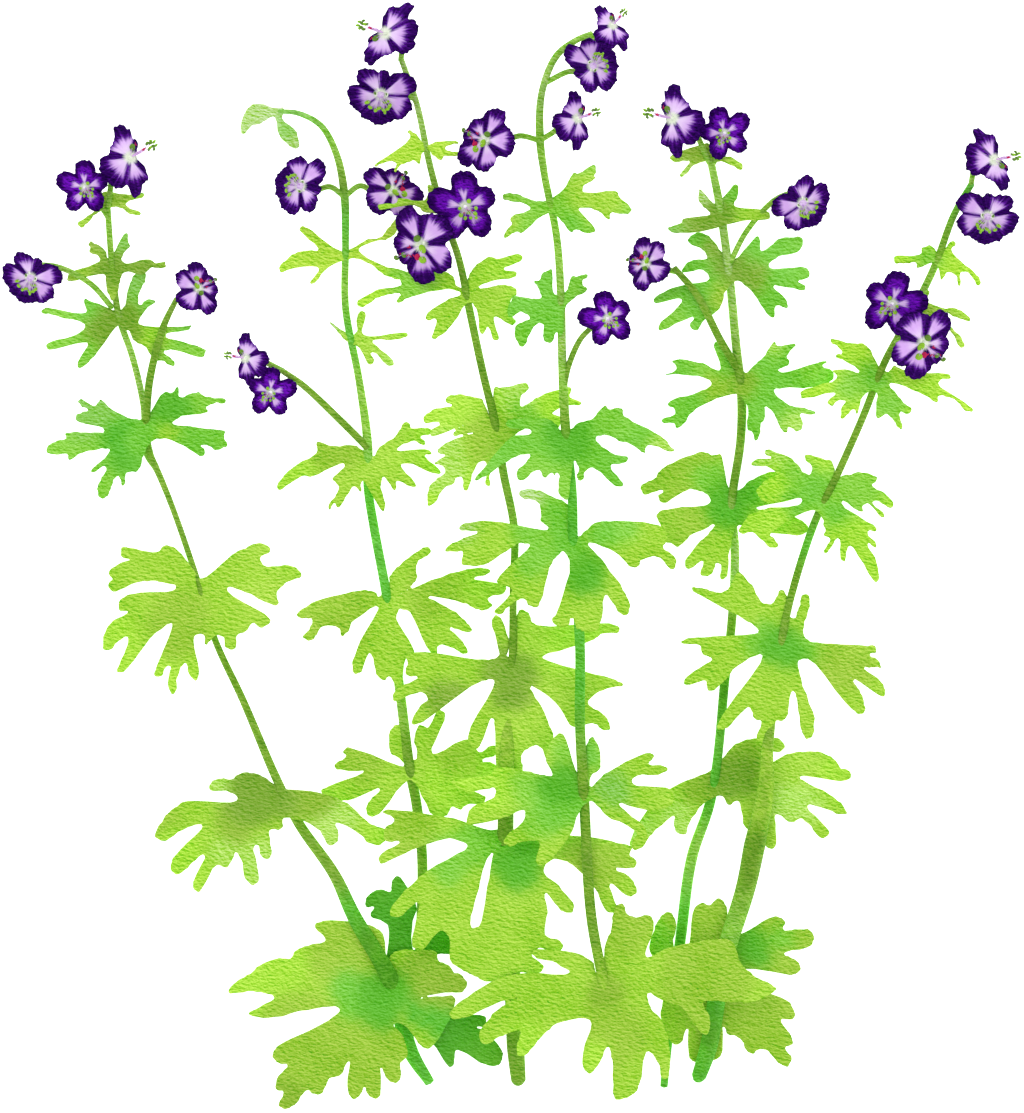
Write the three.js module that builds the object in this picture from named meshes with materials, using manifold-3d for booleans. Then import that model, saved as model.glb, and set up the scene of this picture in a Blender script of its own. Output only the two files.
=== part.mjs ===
// A clump of hardy geranium, cut at the foot and laid on its back on a flat surface.
// Six leafy stems lie in three layers. Each carries palm-shaped leaves with finger lobes,
// and at its top the flower stalks, which end in violet five-petalled blooms.
// Millimetres, +Z up from the surface, +Y from the cut feet towards the flowers.

import * as THREE from 'three';
import { mergeVertices } from 'three/addons/utils/BufferGeometryUtils.js';
import Module from 'manifold-3d';

const wasm = await Module();
wasm.setup();

// ---- Driving dimensions -------------------------------------------------------------

const plantMiddle = [-0.34, 2.33]; // the middle of the whole clump, which becomes x = y = 0
const bladeThickness = 0.8; // leaves and petals
const lowestBlade = 0.6; // no leaf's middle plane lies lower than this over the surface
const seatGap = 0.35; // air between a corolla and what it sits between
const stemSides = 5;
const stalkSides = 4;
const stalkWidth = 2.4;
const endBluntness = 0.2; // how far a stalk's blunt end stands out, in widths

// A leaf: its fingers, and how it passes under the stem above its seat and over it below.
const fingerHalfWidth = 1.3; // of the smallest leaf
const fingerHalfWidthPerReach = 0.034; // added for each millimetre of the leaf's reach
const shortestShouldered = 32; // lobes with a shorter reach have straight sides
const shoulderReach = 0.62; // where a lobe is widest, as a share of its outer finger
const shoulderWidth = 1.5; // its half width there, in finger half widths
const palmReach = 0.3; // where a lobe's fingers spread from
const gapWidth = 2; // how far apart fingers are where a gap ends, in finger half widths
const sinusRange = [0.16, 0.56]; // where a gap between lobes may end, as shares of the reach
const notchRange = [0.7, 0.84]; // where a notch between a lobe's fingers may end
const tipShare = 0.45; // the most of the way to a neighbour that a finger's half width takes
const tipRound = 0.5; // a finger's corners stand this far behind its tip
const widestPalm = 2.6; // a lobe wider than this, in radians, keeps the seat as a corner
const tuckRun = 6; // length over which the blade goes from under the stem to over it

// A bloom, in millimetres along its own axis, or as shares of its radius.
const flatMiddle = 2.7; // radius of the corolla's flat middle
const petalCount = 5;
const clubCount = 4; // stamens
const receptacleLength = 4.5;
const receptacleRadius = 2.2;
const knobRadius = 1.6;
const knobHeight = 1.3;
const styleRadius = 0.65;
const filamentRadius = 0.5;
const antherRadius = 1.1;
const antherLength = 2.2;

// How far each kind of bloom leans from upright, how deep its petals part, how much it
// cups, how long its stamens and style are, and how wide the stamens spread.
const bloomKinds = {
  star: { lean: 17, notch: 0.4, petal: 25, cup: 0.1, stamens: 6, style: 5, spread: 4.6 },
  cup: { lean: 38, notch: 0.66, petal: 28, cup: 0.2, stamens: 9, style: 8, spread: 4.4 },
  open: { lean: 42, notch: 0.55, petal: 27, cup: 0.18, stamens: 10, style: 13, spread: 3.8 },
  side: { lean: 62, notch: 0.5, petal: 27, cup: 0.22, stamens: 11, style: 14.5, spread: 2.8 },
};

// ---- The six stems ------------------------------------------------------------------
// path: x, y, height and width, from the foot to the top.
// side: further stalks, as the path.
// leaves: seat on the stem, how far the tips hang below it, how high the blade arches,
// a finger's half width if it has its own, and the lobes, each as its fingers' tips.
// blooms: kind, centre, radius, bearing of its lean in degrees, and the stalk's points.

const stems = [
  {
    name: 'stem_1',
    path: [
      [-37, -237, 6, 4.5], [-46, -222, 8.5, 7], [-54, -192, 11, 8], [-71, -162, 11, 6.6],
      [-80, -143, 11, 5.3], [-96, -120, 11, 4.6], [-106, -100, 10.5, 4], [-121, -65, 7, 3.4],
      [-134, -37, 3.6, 3], [-142, -10, 2, 2.8], [-153, 22, 1.3, 2.7], [-160, 39, 1.4, 3],
      [-164, 47, 1.9, 4.6], [-166, 68, 2.4, 3], [-171, 90, 4, 3], [-177, 108, 6, 3],
      [-180, 130, 8, 2.8], [-182, 157, 10.5, 2.8],
    ],
    side: [[[-165, 60, 2.2, 3.4], [-163, 80, 4, 3.4], [-157, 103, 7, 2.6], [-151, 116, 10, 2.2]]],
    leaves: [
      { seat: [-58, -198], droop: 8, arch: 3, finger: 4.2, lobes: [[[-88, -168]],
        [[-122, -192], [-118, -204]], [[-104, -222], [-102, -245], [-88, -239]],
        [[-71, -240], [-61, -241], [-52, -233]], [[-24, -192]]] },
      { seat: [-53, -195], droop: 10.5, arch: 0, finger: 3.4, lobes: [[[-64, -155], [-52, -147]],
        [[-30, -171]], [[-13, -208], [-7, -226], [-28, -227]]] },
      { seat: [-104, -108], droop: 8, arch: 2, finger: 3, lobes: [[[-134, -103]],
        [[-157, -126]], [[-151, -140], [-141, -147]], [[-129, -136]], [[-116, -145], [-110, -134]],
        [[-80, -127], [-60, -128]]] },
      { seat: [-141, -17], droop: 1.5, arch: 4, lobes: [[[-157, 4], [-176, 2], [-180, -7], [-180, -14]],
        [[-175, -21], [-183, -40], [-176, -50]], [[-160, -53], [-152, -60], [-143, -54]],
        [[-138, -39]], [[-126, -40], [-109, -29]], [[-104, -20], [-103, -13], [-96, -8], [-111, 3]]] },
      { seat: [-165, 55], droop: 1, arch: 4, lobes: [[[-184, 70], [-195, 70], [-196, 64]],
        [[-201, 57], [-208, 49], [-199, 43]], [[-188, 37], [-183, 26], [-175, 33]],
        [[-139, 46], [-133, 49], [-129, 54]], [[-137, 65], [-131, 70], [-142, 74], [-151, 76]]] },
      { seat: [-177, 107], droop: 3, arch: 3, lobes: [[[-168, 127]], [[-192, 117]], [[-211, 111]],
        [[-210, 95]], [[-195, 86]], [[-161, 115]], [[-145, 104]], [[-139, 93]], [[-153, 88]]] },
      { seat: [-180, 129], droop: 3, arch: 2, lobes: [[[-191, 141]], [[-174, 145]],
        [[-199, 125]], [[-157, 131], [-166, 125]], [[-179, 115]]] },
      { seat: [-182, 157], droop: 2, arch: 1, lobes: [[[-166, 163]], [[-168, 153]], [[-195, 149]]] },
    ],
    blooms: [
      { kind: 'side', at: [-172, 179, 19], radius: 16.8, bearing: 30, stalk: [[-182, 156, 10.5]] },
      { kind: 'star', at: [-192, 166, 20], radius: 12.3, bearing: 250, turn: 20,
        stalk: [[-182, 153, 10.3], [-187, 161, 12]] },
      { kind: 'cup', at: [-216, 126, 14], radius: 14, bearing: 250,
        stalk: [[-180, 112, 6.5], [-190, 123, 9.5], [-205, 130.5, 9]] },
      { kind: 'open', at: [-141, 121, 14], radius: 12, bearing: 35, stalk: [[-151, 116, 10]] },
    ],
  },
  {
    name: 'stem_2',
    path: [
      [-42, -184, 3.2, 4.2], [-41, -166, 2.4, 4.4], [-40.5, -136, 1.3, 4.6],
      [-43, -112, 1.3, 4.6], [-46, -96, 1.3, 4.6], [-51, -57, 1.3, 4.4], [-57, -15, 1.3, 4.3],
      [-62, 12, 1.3, 4.2], [-65, 32, 1.3, 4], [-65, 50, 1.3, 4.2], [-69, 80, 2.2, 3.4],
      [-75, 112, 3, 3.3], [-75, 140, 4, 3.2], [-75.5, 163, 5.5, 3.8], [-79, 181, 7, 3.2],
      [-86, 194, 8.5, 2.8], [-96, 199.5, 9.5, 2.4], [-105, 200.5, 9.5, 2],
    ],
    side: [[[-65, 49, 2, 3.4], [-77, 61, 4, 3.4], [-94, 77, 7, 3], [-104, 84, 9.5, 2.6]]],
    leaves: [
      { seat: [-46, -98], droop: 1, arch: 3, lobes: [[[-52, -79]], [[-75, -88], [-79, -94]],
        [[-84, -106]], [[-64, -115]], [[-25, -112], [-13, -111]], [[-9, -102], [-9, -88]],
        [[-31, -71], [-42, -76]]] },
      { seat: [-56, -19], droop: 0.5, arch: 3, lobes: [[[-95, -26], [-91, -37], [-77, -34]],
        [[-70, -51], [-58, -54], [-51, -60]], [[-36, -42], [-20, -43], [-20, -33]],
        [[-10, -21], [-4, -14], [-11, -7]], [[-38, 3], [-44, -9]]] },
      { seat: [-65, 44], droop: 0.5, arch: 2.5, lobes: [[[-88, 50], [-105, 33]], [[-82, 23], [-69, 29]],
        [[-59, 23]], [[-52, 29], [-44, 32]], [[-33, 38], [-37, 47]], [[-37, 55], [-47, 60]]] },
      { seat: [-71, 97], droop: 1.5, arch: 2, lobes: [[[-83, 106]], [[-67, 110]], [[-48, 100]],
        [[-54, 86]], [[-64, 85]]] },
      { seat: [-75, 135], droop: 2.5, arch: 1.5, lobes: [[[-95, 148]], [[-104, 130], [-90, 123]],
        [[-56, 147]], [[-55, 128]]] },
      { seat: [-102, 200.3], droop: 3, arch: 1, finger: 2.8, lobes: [[[-116, 203]], [[-120, 192]],
        [[-97, 185]]] },
    ],
    blooms: [
      { kind: 'cup', at: [-94, 168, 13], radius: 13.7, bearing: 185,
        stalk: [[-75.5, 162, 5.5], [-82, 166.5, 8]] },
      { kind: 'open', at: [-54, 166, 10.5], radius: 13.8, bearing: 40,
        stalk: [[-75.5, 162, 5.5], [-68, 167, 6.5]] },
      { kind: 'side', at: [-119.5, 88, 13], radius: 11, bearing: 175, stalk: [[-103, 83.5, 9.5]] },
      { kind: 'star', at: [-109, 73.5, 14], radius: 11.5, bearing: 280, turn: 15,
        stalk: [[-96, 78.5, 7.5], [-103, 78, 8.5]] },
    ],
  },
  {
    name: 'stem_3',
    path: [
      [3, -236, 7, 5.5], [1, -217, 10, 7], [0, -190, 13, 7.6], [-3, -150, 14.5, 7.5],
      [-3, -118, 14, 7.2], [-2, -80, 13, 6.4], [0, -48, 12.5, 5], [0.5, -14, 12.5, 3.6],
      [1, 12, 12.8, 3.6], [-4, 38, 13, 3.8], [-7, 57, 13, 3.8], [-13, 82, 13, 3.6],
      [-19, 110, 13, 3.6], [-24, 134, 13, 3.2], [-31, 154, 13, 3.2], [-37, 176, 13, 3],
      [-43, 204, 13, 2.8], [-50, 224, 14, 2.6],
    ],
    side: [],
    leaves: [
      { seat: [-3, -126], droop: 1.5, arch: 1.5, finger: 3.4, lobes: [[[-56, -116], [-58, -135]],
        [[-52, -160], [-40, -175]], [[-24, -182], [-8, -190], [12, -186]], [[23, -174]],
        [[26, -158]], [[46, -157], [55, -151]], [[55, -138], [54, -131]]] },
      { seat: [0, -48], droop: 6.5, arch: 1.5, finger: 2.8, lobes: [[[-7, -26]], [[4, -25], [20, -34]],
        [[47, -32]], [[48, -58], [34, -63], [42, -77]], [[19, -96], [-3, -104]],
        [[-19, -82]], [[-32, -78], [-42, -75], [-52, -63]], [[-47, -52], [-42, -44]]] },
      { seat: [-6.5, 58], droop: 2.5, arch: 2, lobes: [[[-7, 76], [8, 76]], [[26, 75], [31, 69]],
        [[-28, 71], [-38, 61]], [[-36, 54]], [[-35, 43], [-37, 26], [-22, 30]], [[-12, 33]],
        [[15, 37], [31, 36]]] },
      { seat: [-20.5, 117], droop: 2, arch: 2, lobes: [[[-35, 129], [-57, 127], [-68, 114]],
        [[-51, 110], [-38, 100], [-29, 102]], [[-13, 102], [-6, 98]], [[0, 106]],
        [[2, 127], [4, 134], [-9, 135]]] },
      { seat: [-32, 157], droop: -11, arch: 3, lobes: [[[-59, 157]], [[-42, 166]], [[-26, 153]]] },
      { seat: [-39, 184], droop: 0.5, arch: 4, lobes: [[[-46, 194]], [[-61, 175], [-51, 173]],
        [[-24, 180]], [[-25, 187]]] },
    ],
    blooms: [
      { kind: 'side', at: [-57, 235, 22], radius: 16.5, bearing: 160, stalk: [[-50, 223, 14]] },
      { kind: 'cup', at: [-59, 207.5, 22], radius: 16, bearing: 270,
        stalk: [[-44, 206, 13], [-53, 210, 15]] },
      { kind: 'open', at: [-41, 140, 22], radius: 17, bearing: 210,
        stalk: [[-27, 143, 13], [-33, 146, 16]] },
      { kind: 'star', at: [-21, 157, 23], radius: 16, bearing: 260, turn: 20,
        stalk: [[-31, 153, 13], [-24, 159, 17]] },
    ],
  },
  {
    name: 'stem_4',
    path: [
      [44, -216, 20, 4.4], [41, -192, 22, 4.7], [35.5, -161, 23, 4.7], [32.5, -112, 24, 4.7],
      [30.5, -75, 24, 4.6], [30.5, -40, 24, 4.5], [27.5, 6, 23, 4.4], [27, 28, 22.5, 4.3],
      [24, 58, 22, 4.4], [22.5, 90, 21, 3.8], [22, 116, 20, 3.6], [20, 144, 19, 3.4],
      [14.5, 172, 18.5, 3.3], [12.5, 189, 18.5, 3.8], [13.5, 209, 19, 3.2], [20, 225, 21, 3.2],
      [29, 232, 23, 2.8], [36, 235, 24, 2.4],
    ],
    side: [[[23, 75, 21.5, 3], [25.5, 86, 21.5, 2.8], [31, 98, 21.5, 2.6], [37, 104, 22, 2.4]]],
    leaves: [
      { seat: [41, -192], droop: 5.4, arch: 2, finger: 4.4, lobes: [[[10, -177]],
        [[-25, -206], [-13, -216], [4, -222]], [[35, -229]], [[50, -240]], [[68, -231]],
        [[86, -211]], [[116, -193], [107, -182]], [[70, -165], [61, -164], [49, -160]]] },
      { seat: [32, -107], droop: 5, arch: 1.5, lobes: [[[22, -82]], [[37, -83]],
        [[62, -89], [66, -95]], [[57, -122]], [[-1, -129], [13, -138]],
        [[-19, -118], [-26, -102], [-14, -88]]] },
      { seat: [27.5, 7], droop: 4, arch: 2, lobes: [[[5, 29], [13, 18]], [[-22, 13], [-29, 3], [-21, -4]],
        [[-5, -24], [10, -21]], [[22, -30], [40, -29]], [[51, -24]],
        [[56, -4], [72, -4], [64, 12], [41, 14]]] },
      { seat: [24, 55], droop: 3, arch: 2, lobes: [[[9, 65], [0, 58]], [[-15, 35]], [[4, 36]], [[22, 29]],
        [[43, 34], [48, 33]], [[51, 44]], [[71, 48], [60, 58], [49, 67], [42, 67]]] },
      { seat: [21.5, 114], droop: 2, arch: 2, lobes: [[[11, 125], [18, 128]], [[1, 116], [1, 107]],
        [[4, 95], [15, 97], [21, 99]], [[35, 119], [33, 126]]] },
      { seat: [17.5, 158], droop: 2, arch: 2, lobes: [[[-4, 162]], [[-2, 150], [6, 146]],
        [[27, 146], [36, 146]], [[43, 151], [53, 156], [47, 163]], [[38, 170], [28, 173]]] },
    ],
    blooms: [
      { kind: 'open', at: [-12, 188, 25], radius: 14.5, bearing: 190,
        stalk: [[12.5, 187, 18.5], [3, 189, 20]] },
      { kind: 'side', at: [29, 196, 26], radius: 14, bearing: 15,
        stalk: [[12.5, 187, 18.5], [19, 191, 21]] },
      { kind: 'cup', at: [35.5, 221.5, 22.5], radius: 13, bearing: 350,
        stalk: [[15, 213, 18.5], [26, 218, 20]] },
      { kind: 'side', at: [45, 237.5, 32], radius: 10.5, bearing: 50, stalk: [[35, 234.5, 24]] },
      { kind: 'star', at: [43, 107, 28], radius: 12.3, bearing: 260, turn: 28,
        stalk: [[35, 102, 22], [40, 107, 23]] },
    ],
  },
  {
    name: 'stem_5',
    path: [
      [68.5, -239, 1.3, 3.4], [71.5, -207, 1.3, 4.4], [76, -172, 1.3, 4.9], [81, -136, 1.3, 5],
      [89, -112, 1.3, 4.6], [92.5, -92, 1.3, 4.2], [96, -55, 1.3, 4.2], [99, -30, 1.3, 4],
      [100.5, 2, 1.3, 4], [99, 23, 1.3, 4], [103, 52, 1.3, 4], [103.5, 72, 1.3, 4.2],
      [101, 95, 2.8, 4], [98, 126, 4.5, 3.8], [93.5, 158, 7, 3.8], [89.5, 178, 9, 3.4],
    ],
    side: [[[101.5, 85, 2.4, 3.4], [94, 97, 3.6, 3.4], [83, 118, 6.5, 3.2], [73, 130, 8.5, 2.8]]],
    leaves: [
      { seat: [91, -102], droop: 1, arch: 3, finger: 2.8, lobes: [[[122, -87]], [[150, -98]],
        [[148, -114], [140, -124]], [[115, -128], [105, -121]],
        [[76, -122], [59, -128]]] },
      { seat: [99, 23], droop: 0.5, arch: 2.5, lobes: [[[92, 46], [84, 46], [59, 29]],
        [[67, 18], [74, 6]], [[80, -4], [87, -8], [95, -9]], [[117, 5]], [[130, 13]], [[116, 36]]] },
      { seat: [103.5, 79], droop: 0.5, arch: 2.5, lobes: [[[74, 88], [70, 82]],
        [[71, 69], [70, 62]], [[111, 54]], [[122, 57], [130, 57], [136, 65]],
        [[143, 81], [140, 87]], [[127, 95], [119, 97]], [[92, 96]]] },
      { seat: [97.5, 128], droop: 2, arch: 2, lobes: [[[80, 142], [88, 144]], [[77, 129]],
        [[66, 114], [68, 105], [81, 103]], [[117, 110], [123, 113]], [[130, 121], [133, 128]],
        [[130, 137], [130, 143]], [[112, 143]]] },
      { seat: [94, 156], droop: 2, arch: 1.5, lobes: [[[84, 165]], [[102, 166]],
        [[72, 147]], [[115, 155]], [[99, 140]]] },
      { seat: [89.5, 178], droop: 2, arch: 1, lobes: [[[72, 179]], [[77, 171]], [[103, 175]]] },
    ],
    blooms: [
      { kind: 'side', at: [72.5, 196, 19], radius: 16.8, bearing: 170, stalk: [[89, 177, 9]] },
      { kind: 'star', at: [95.5, 190, 15], radius: 12.3, bearing: 280, turn: 33,
        stalk: [[89.5, 175, 9], [94, 184, 9.5]] },
      { kind: 'cup', at: [130, 158.5, 14], radius: 14, bearing: 315,
        stalk: [[98, 132, 5], [106, 147, 6.5], [119, 161, 9]] },
      { kind: 'open', at: [61, 130.5, 14], radius: 12, bearing: 165, stalk: [[75, 128, 8.2]] },
    ],
  },
  {
    name: 'stem_6',
    path: [
      [84, -234, 9, 6.6], [88.5, -220, 11, 8], [95, -182, 13.5, 8.2], [105, -149, 12.7, 9],
      [109, -130, 11.9, 9.8], [114, -105, 11.6, 7.4], [115, -85, 12, 5.2], [121, -40, 12, 3.8],
      [125, -20, 11.5, 3.5], [136, 15, 10.5, 3.6], [146, 36, 9.5, 3.4], [158, 63, 8.5, 3.4],
      [168, 88, 7.5, 3.4], [179, 108, 7.5, 3.4], [190, 130, 8, 3.4], [199, 154, 9, 3.2],
      [207, 168, 10, 3],
    ],
    side: [],
    leaves: [
      { seat: [96, -180], droop: 5, arch: 0, finger: 4.4, lobes: [[[73, -164]],
        [[86, -158], [95, -157]], [[118, -165], [133, -172], [126, -184]],
        [[124, -204], [123, -217], [121, -227], [108, -221]], [[92, -223], [82, -223], [76, -217]]] },
      { seat: [121.5, -38], droop: 4, arch: 2, lobes: [[[82, -14], [102, -8]], [[120, -17]],
        [[132, -18]], [[162, -42], [164, -49], [166, -60], [157, -69]], [[133, -80]],
        [[124, -72], [114, -84], [95, -76]], [[89, -59], [78, -56], [77, -38]]] },
      { seat: [139, 26], droop: 1, arch: 2, lobes: [[[131, 44], [143, 41]], [[115, 47], [109, 42]],
        [[112, 28], [108, 13]], [[128, 12]], [[142, 4], [150, -1], [163, -9]], [[164, 6], [163, 13]],
        [[166, 19], [170, 24], [163, 34]]] },
      { seat: [165, 80], droop: 3, arch: 2, lobes: [[[158, 95], [145, 98], [145, 91]],
        [[143, 83], [131, 72]], [[143, 69], [149, 62], [155, 64]], [[165, 62], [175, 59], [178, 65]],
        [[205, 65], [198, 80]]] },
      { seat: [182, 112], droop: 2, arch: 1, lobes: [[[188, 119]], [[205, 108]], [[202, 95]]] },
      { seat: [191.5, 133], droop: 3, arch: 2, lobes: [[[179, 139], [172, 133]], [[200, 141]],
        [[210, 124], [202, 123]], [[193, 124]]] },
    ],
    blooms: [
      { kind: 'side', at: [215.5, 181, 18], radius: 14.5, bearing: 0, stalk: [[206.5, 167, 10]] },
      { kind: 'cup', at: [214, 153, 14], radius: 14.3, bearing: 270,
        stalk: [[204, 163, 9.5], [211, 161, 9.5]] },
      { kind: 'star', at: [171, 113.5, 15], radius: 14.3, bearing: 240, turn: 5,
        stalk: [[179, 108, 7.5], [174, 113, 9]] },
      { kind: 'open', at: [185, 96, 19], radius: 16, bearing: 320,
        stalk: [[172, 96, 7.5], [177, 99, 11]] },
    ],
  },
];

// ---- Solids from points -------------------------------------------------------------

function solidFrom(positions, faces) {
  const mesh = new wasm.Mesh({
    numProp: 3,
    vertProperties: new Float32Array(positions),
    triVerts: new Uint32Array(faces),
  });
  return new wasm.Manifold(mesh);
}

function solidFromGeometry(geometry) {
  geometry.deleteAttribute('normal');
  geometry.deleteAttribute('uv');
  const merged = mergeVertices(geometry);
  return solidFrom(merged.attributes.position.array, merged.index.array);
}

function geometryFromSolid(solid) {
  const mesh = solid.getMesh();
  const geometry = new THREE.BufferGeometry();
  geometry.setAttribute('position', new THREE.BufferAttribute(mesh.vertProperties, 3));
  geometry.setIndex(new THREE.BufferAttribute(mesh.triVerts, 1));
  geometry.computeVertexNormals();
  return geometry;
}

// A thin sheet: its middle surface is lifted and lowered by half its thickness, both faces
// keep the same triangles, and a wall runs round the rim. The rim goes anticlockwise.
function sheetSolid(points, triangles, rim) {
  const count = points.length;
  const positions = [];
  for (const offset of [bladeThickness / 2, -bladeThickness / 2]) {
    for (const [x, y, z] of points) {
      positions.push(x, y, z + offset);
    }
  }
  const faces = [];
  for (const [a, b, c] of triangles) {
    faces.push(a, b, c, count + a, count + c, count + b);
  }
  rim.forEach((a, index) => {
    const b = rim[(index + 1) % rim.length];
    faces.push(a, count + a, count + b, a, count + b, b);
  });
  return solidFrom(positions, faces);
}

// A round stalk through points of x, y, height and width, closed by a blunt point at each end.
function stalkSolid(path, sides, steps) {
  const curve = new THREE.CatmullRomCurve3(path.map(([x, y, z]) => new THREE.Vector3(x, y, z)));
  const positions = [];
  const faces = [];
  const rising = Math.abs(curve.getTangent(0).z) > 0.9;
  let across = rising ? new THREE.Vector3(1, 0, 0) : new THREE.Vector3(0, 0, 1);
  for (let step = 0; step <= steps; step += 1) {
    const share = step / steps;
    const middle = curve.getPoint(share);
    const ahead = curve.getTangent(share);
    const radius = widthAlong(path, share) / 2;
    const upright = new THREE.Vector3().crossVectors(ahead, across).normalize();
    across = new THREE.Vector3().crossVectors(upright, ahead).normalize();
    for (let side = 0; side < sides; side += 1) {
      const angle = (side / sides) * 2 * Math.PI;
      const point = middle.clone();
      point.addScaledVector(across, radius * Math.cos(angle));
      point.addScaledVector(upright, radius * Math.sin(angle));
      positions.push(point.x, point.y, point.z);
    }
  }
  for (let step = 0; step < steps; step += 1) {
    for (let side = 0; side < sides; side += 1) {
      const a = step * sides + side;
      const b = step * sides + ((side + 1) % sides);
      faces.push(a, b, a + sides, b, b + sides, a + sides);
    }
  }
  for (const end of [0, 1]) {
    const bluntness = widthAlong(path, end) * endBluntness * (end ? 1 : -1);
    const point = curve.getPoint(end).addScaledVector(curve.getTangent(end), bluntness);
    const tip = positions.length / 3;
    positions.push(point.x, point.y, point.z);
    const first = end * steps * sides;
    for (let side = 0; side < sides; side += 1) {
      const a = first + side;
      const b = first + ((side + 1) % sides);
      faces.push(tip, end ? a : b, end ? b : a);
    }
  }
  return solidFrom(positions, faces);
}

function widthAlong(path, share) {
  const place = share * (path.length - 1);
  const index = Math.min(Math.floor(place), path.length - 2);
  return THREE.MathUtils.lerp(path[index][3], path[index + 1][3], place - index);
}

// ---- Leaves -------------------------------------------------------------------------

const turn = (angle) => Math.atan2(Math.sin(angle), Math.cos(angle));

// The lobes in order round the seat, anticlockwise, and each one's fingers likewise.
function orderedLobes(seat, lobes) {
  const ordered = lobes.map((tips) => {
    const fingers = tips.map((tip) => ({
      tip,
      bearing: Math.atan2(tip[1] - seat[1], tip[0] - seat[0]),
      reach: Math.hypot(tip[0] - seat[0], tip[1] - seat[1]),
    }));
    const eastward = fingers.reduce((sum, finger) => sum + Math.cos(finger.bearing), 0);
    const northward = fingers.reduce((sum, finger) => sum + Math.sin(finger.bearing), 0);
    const middle = Math.atan2(northward, eastward);
    fingers.sort((a, b) => turn(a.bearing - middle) - turn(b.bearing - middle));
    return { fingers, middle };
  });
  return ordered.sort((a, b) => a.middle - b.middle);
}

// A point at a bearing and reach from the seat, moved sideways (anticlockwise positive).
function fromSeat(seat, bearing, reach, sideways) {
  return [
    seat[0] + reach * Math.cos(bearing) - sideways * Math.sin(bearing),
    seat[1] + reach * Math.sin(bearing) + sideways * Math.cos(bearing),
  ];
}

const gapBetween = (before, after) => (after.bearing - before.bearing + 2 * Math.PI) % (2 * Math.PI);

// The bottom of the gap between two fingers lies where they have become a finger apart.
function gapBottom(seat, before, after, halfWidth, [least, most]) {
  const gap = gapBetween(before, after);
  const shorter = Math.min(before.reach, after.reach);
  const reach = THREE.MathUtils.clamp((gapWidth * halfWidth) / gap, least * shorter, most * shorter);
  return fromSeat(seat, before.bearing + gap / 2, reach, 0);
}

// A finger's two corners at its tip, narrower where a neighbour's tip is close.
function fingerEnd(seat, finger, before, after, palm, halfWidth) {
  const [x, y] = finger.tip;
  const half = Math.min(
    halfWidth,
    tipShare * Math.hypot(before.tip[0] - x, before.tip[1] - y),
    tipShare * Math.hypot(after.tip[0] - x, after.tip[1] - y),
    tipShare * gapBetween(before, finger) * finger.reach,
    tipShare * gapBetween(finger, after) * finger.reach,
  );
  const pointing = Math.atan2(y - palm[1], x - palm[0]);
  return [
    fromSeat(finger.tip, pointing, -tipRound, -half),
    fromSeat(finger.tip, pointing, -tipRound, half),
  ];
}

// One lobe's outline, anticlockwise: the sinus before it, a shoulder, its fingers with a
// notch between each two, and the other shoulder.
function lobeOutline(seat, lobe, before, after, halfWidth) {
  const { fingers, middle } = lobe;
  const meanReach = fingers.reduce((sum, finger) => sum + finger.reach, 0) / fingers.length;
  const palm = fingers.length > 1 ? fromSeat(seat, middle, palmReach * meanReach, 0) : seat;
  const first = fingers[0];
  const last = fingers[fingers.length - 1];
  const row = [before, ...fingers, after];
  const shoulder = (finger, neighbour, side) => {
    const reach = shoulderReach * finger.reach;
    const gap = side < 0 ? gapBetween(neighbour, finger) : gapBetween(finger, neighbour);
    const sideways = Math.min(shoulderWidth * halfWidth, tipShare * gap * reach);
    return fromSeat(seat, finger.bearing, reach, side * sideways);
  };
  const outline = [gapBottom(seat, before, first, halfWidth, sinusRange)];
  const hasShoulders = meanReach > shortestShouldered;
  if (hasShoulders) {
    outline.push(shoulder(first, before, -1));
  }
  fingers.forEach((finger, index) => {
    if (index > 0) {
      outline.push(gapBottom(seat, fingers[index - 1], finger, halfWidth, notchRange));
    }
    outline.push(...fingerEnd(seat, finger, row[index], row[index + 2], palm, halfWidth));
  });
  if (hasShoulders) {
    outline.push(shoulder(last, after, 1));
  }
  return outline;
}

// The stem's height, half width and direction beside a leaf's seat.
function stemAt(path, seat) {
  const curve = new THREE.CatmullRomCurve3(path.map(([x, y, z]) => new THREE.Vector3(x, y, z)));
  let nearest = { distance: Infinity };
  const tries = 400;
  for (let index = 0; index <= tries; index += 1) {
    const share = index / tries;
    const point = curve.getPoint(share);
    const distance = Math.hypot(point.x - seat[0], point.y - seat[1]);
    if (distance < nearest.distance) {
      nearest = { distance, share, height: point.z };
    }
  }
  const ahead = curve.getTangent(nearest.share);
  return { height: nearest.height, radius: widthAlong(path, nearest.share) / 2, ahead };
}

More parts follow.
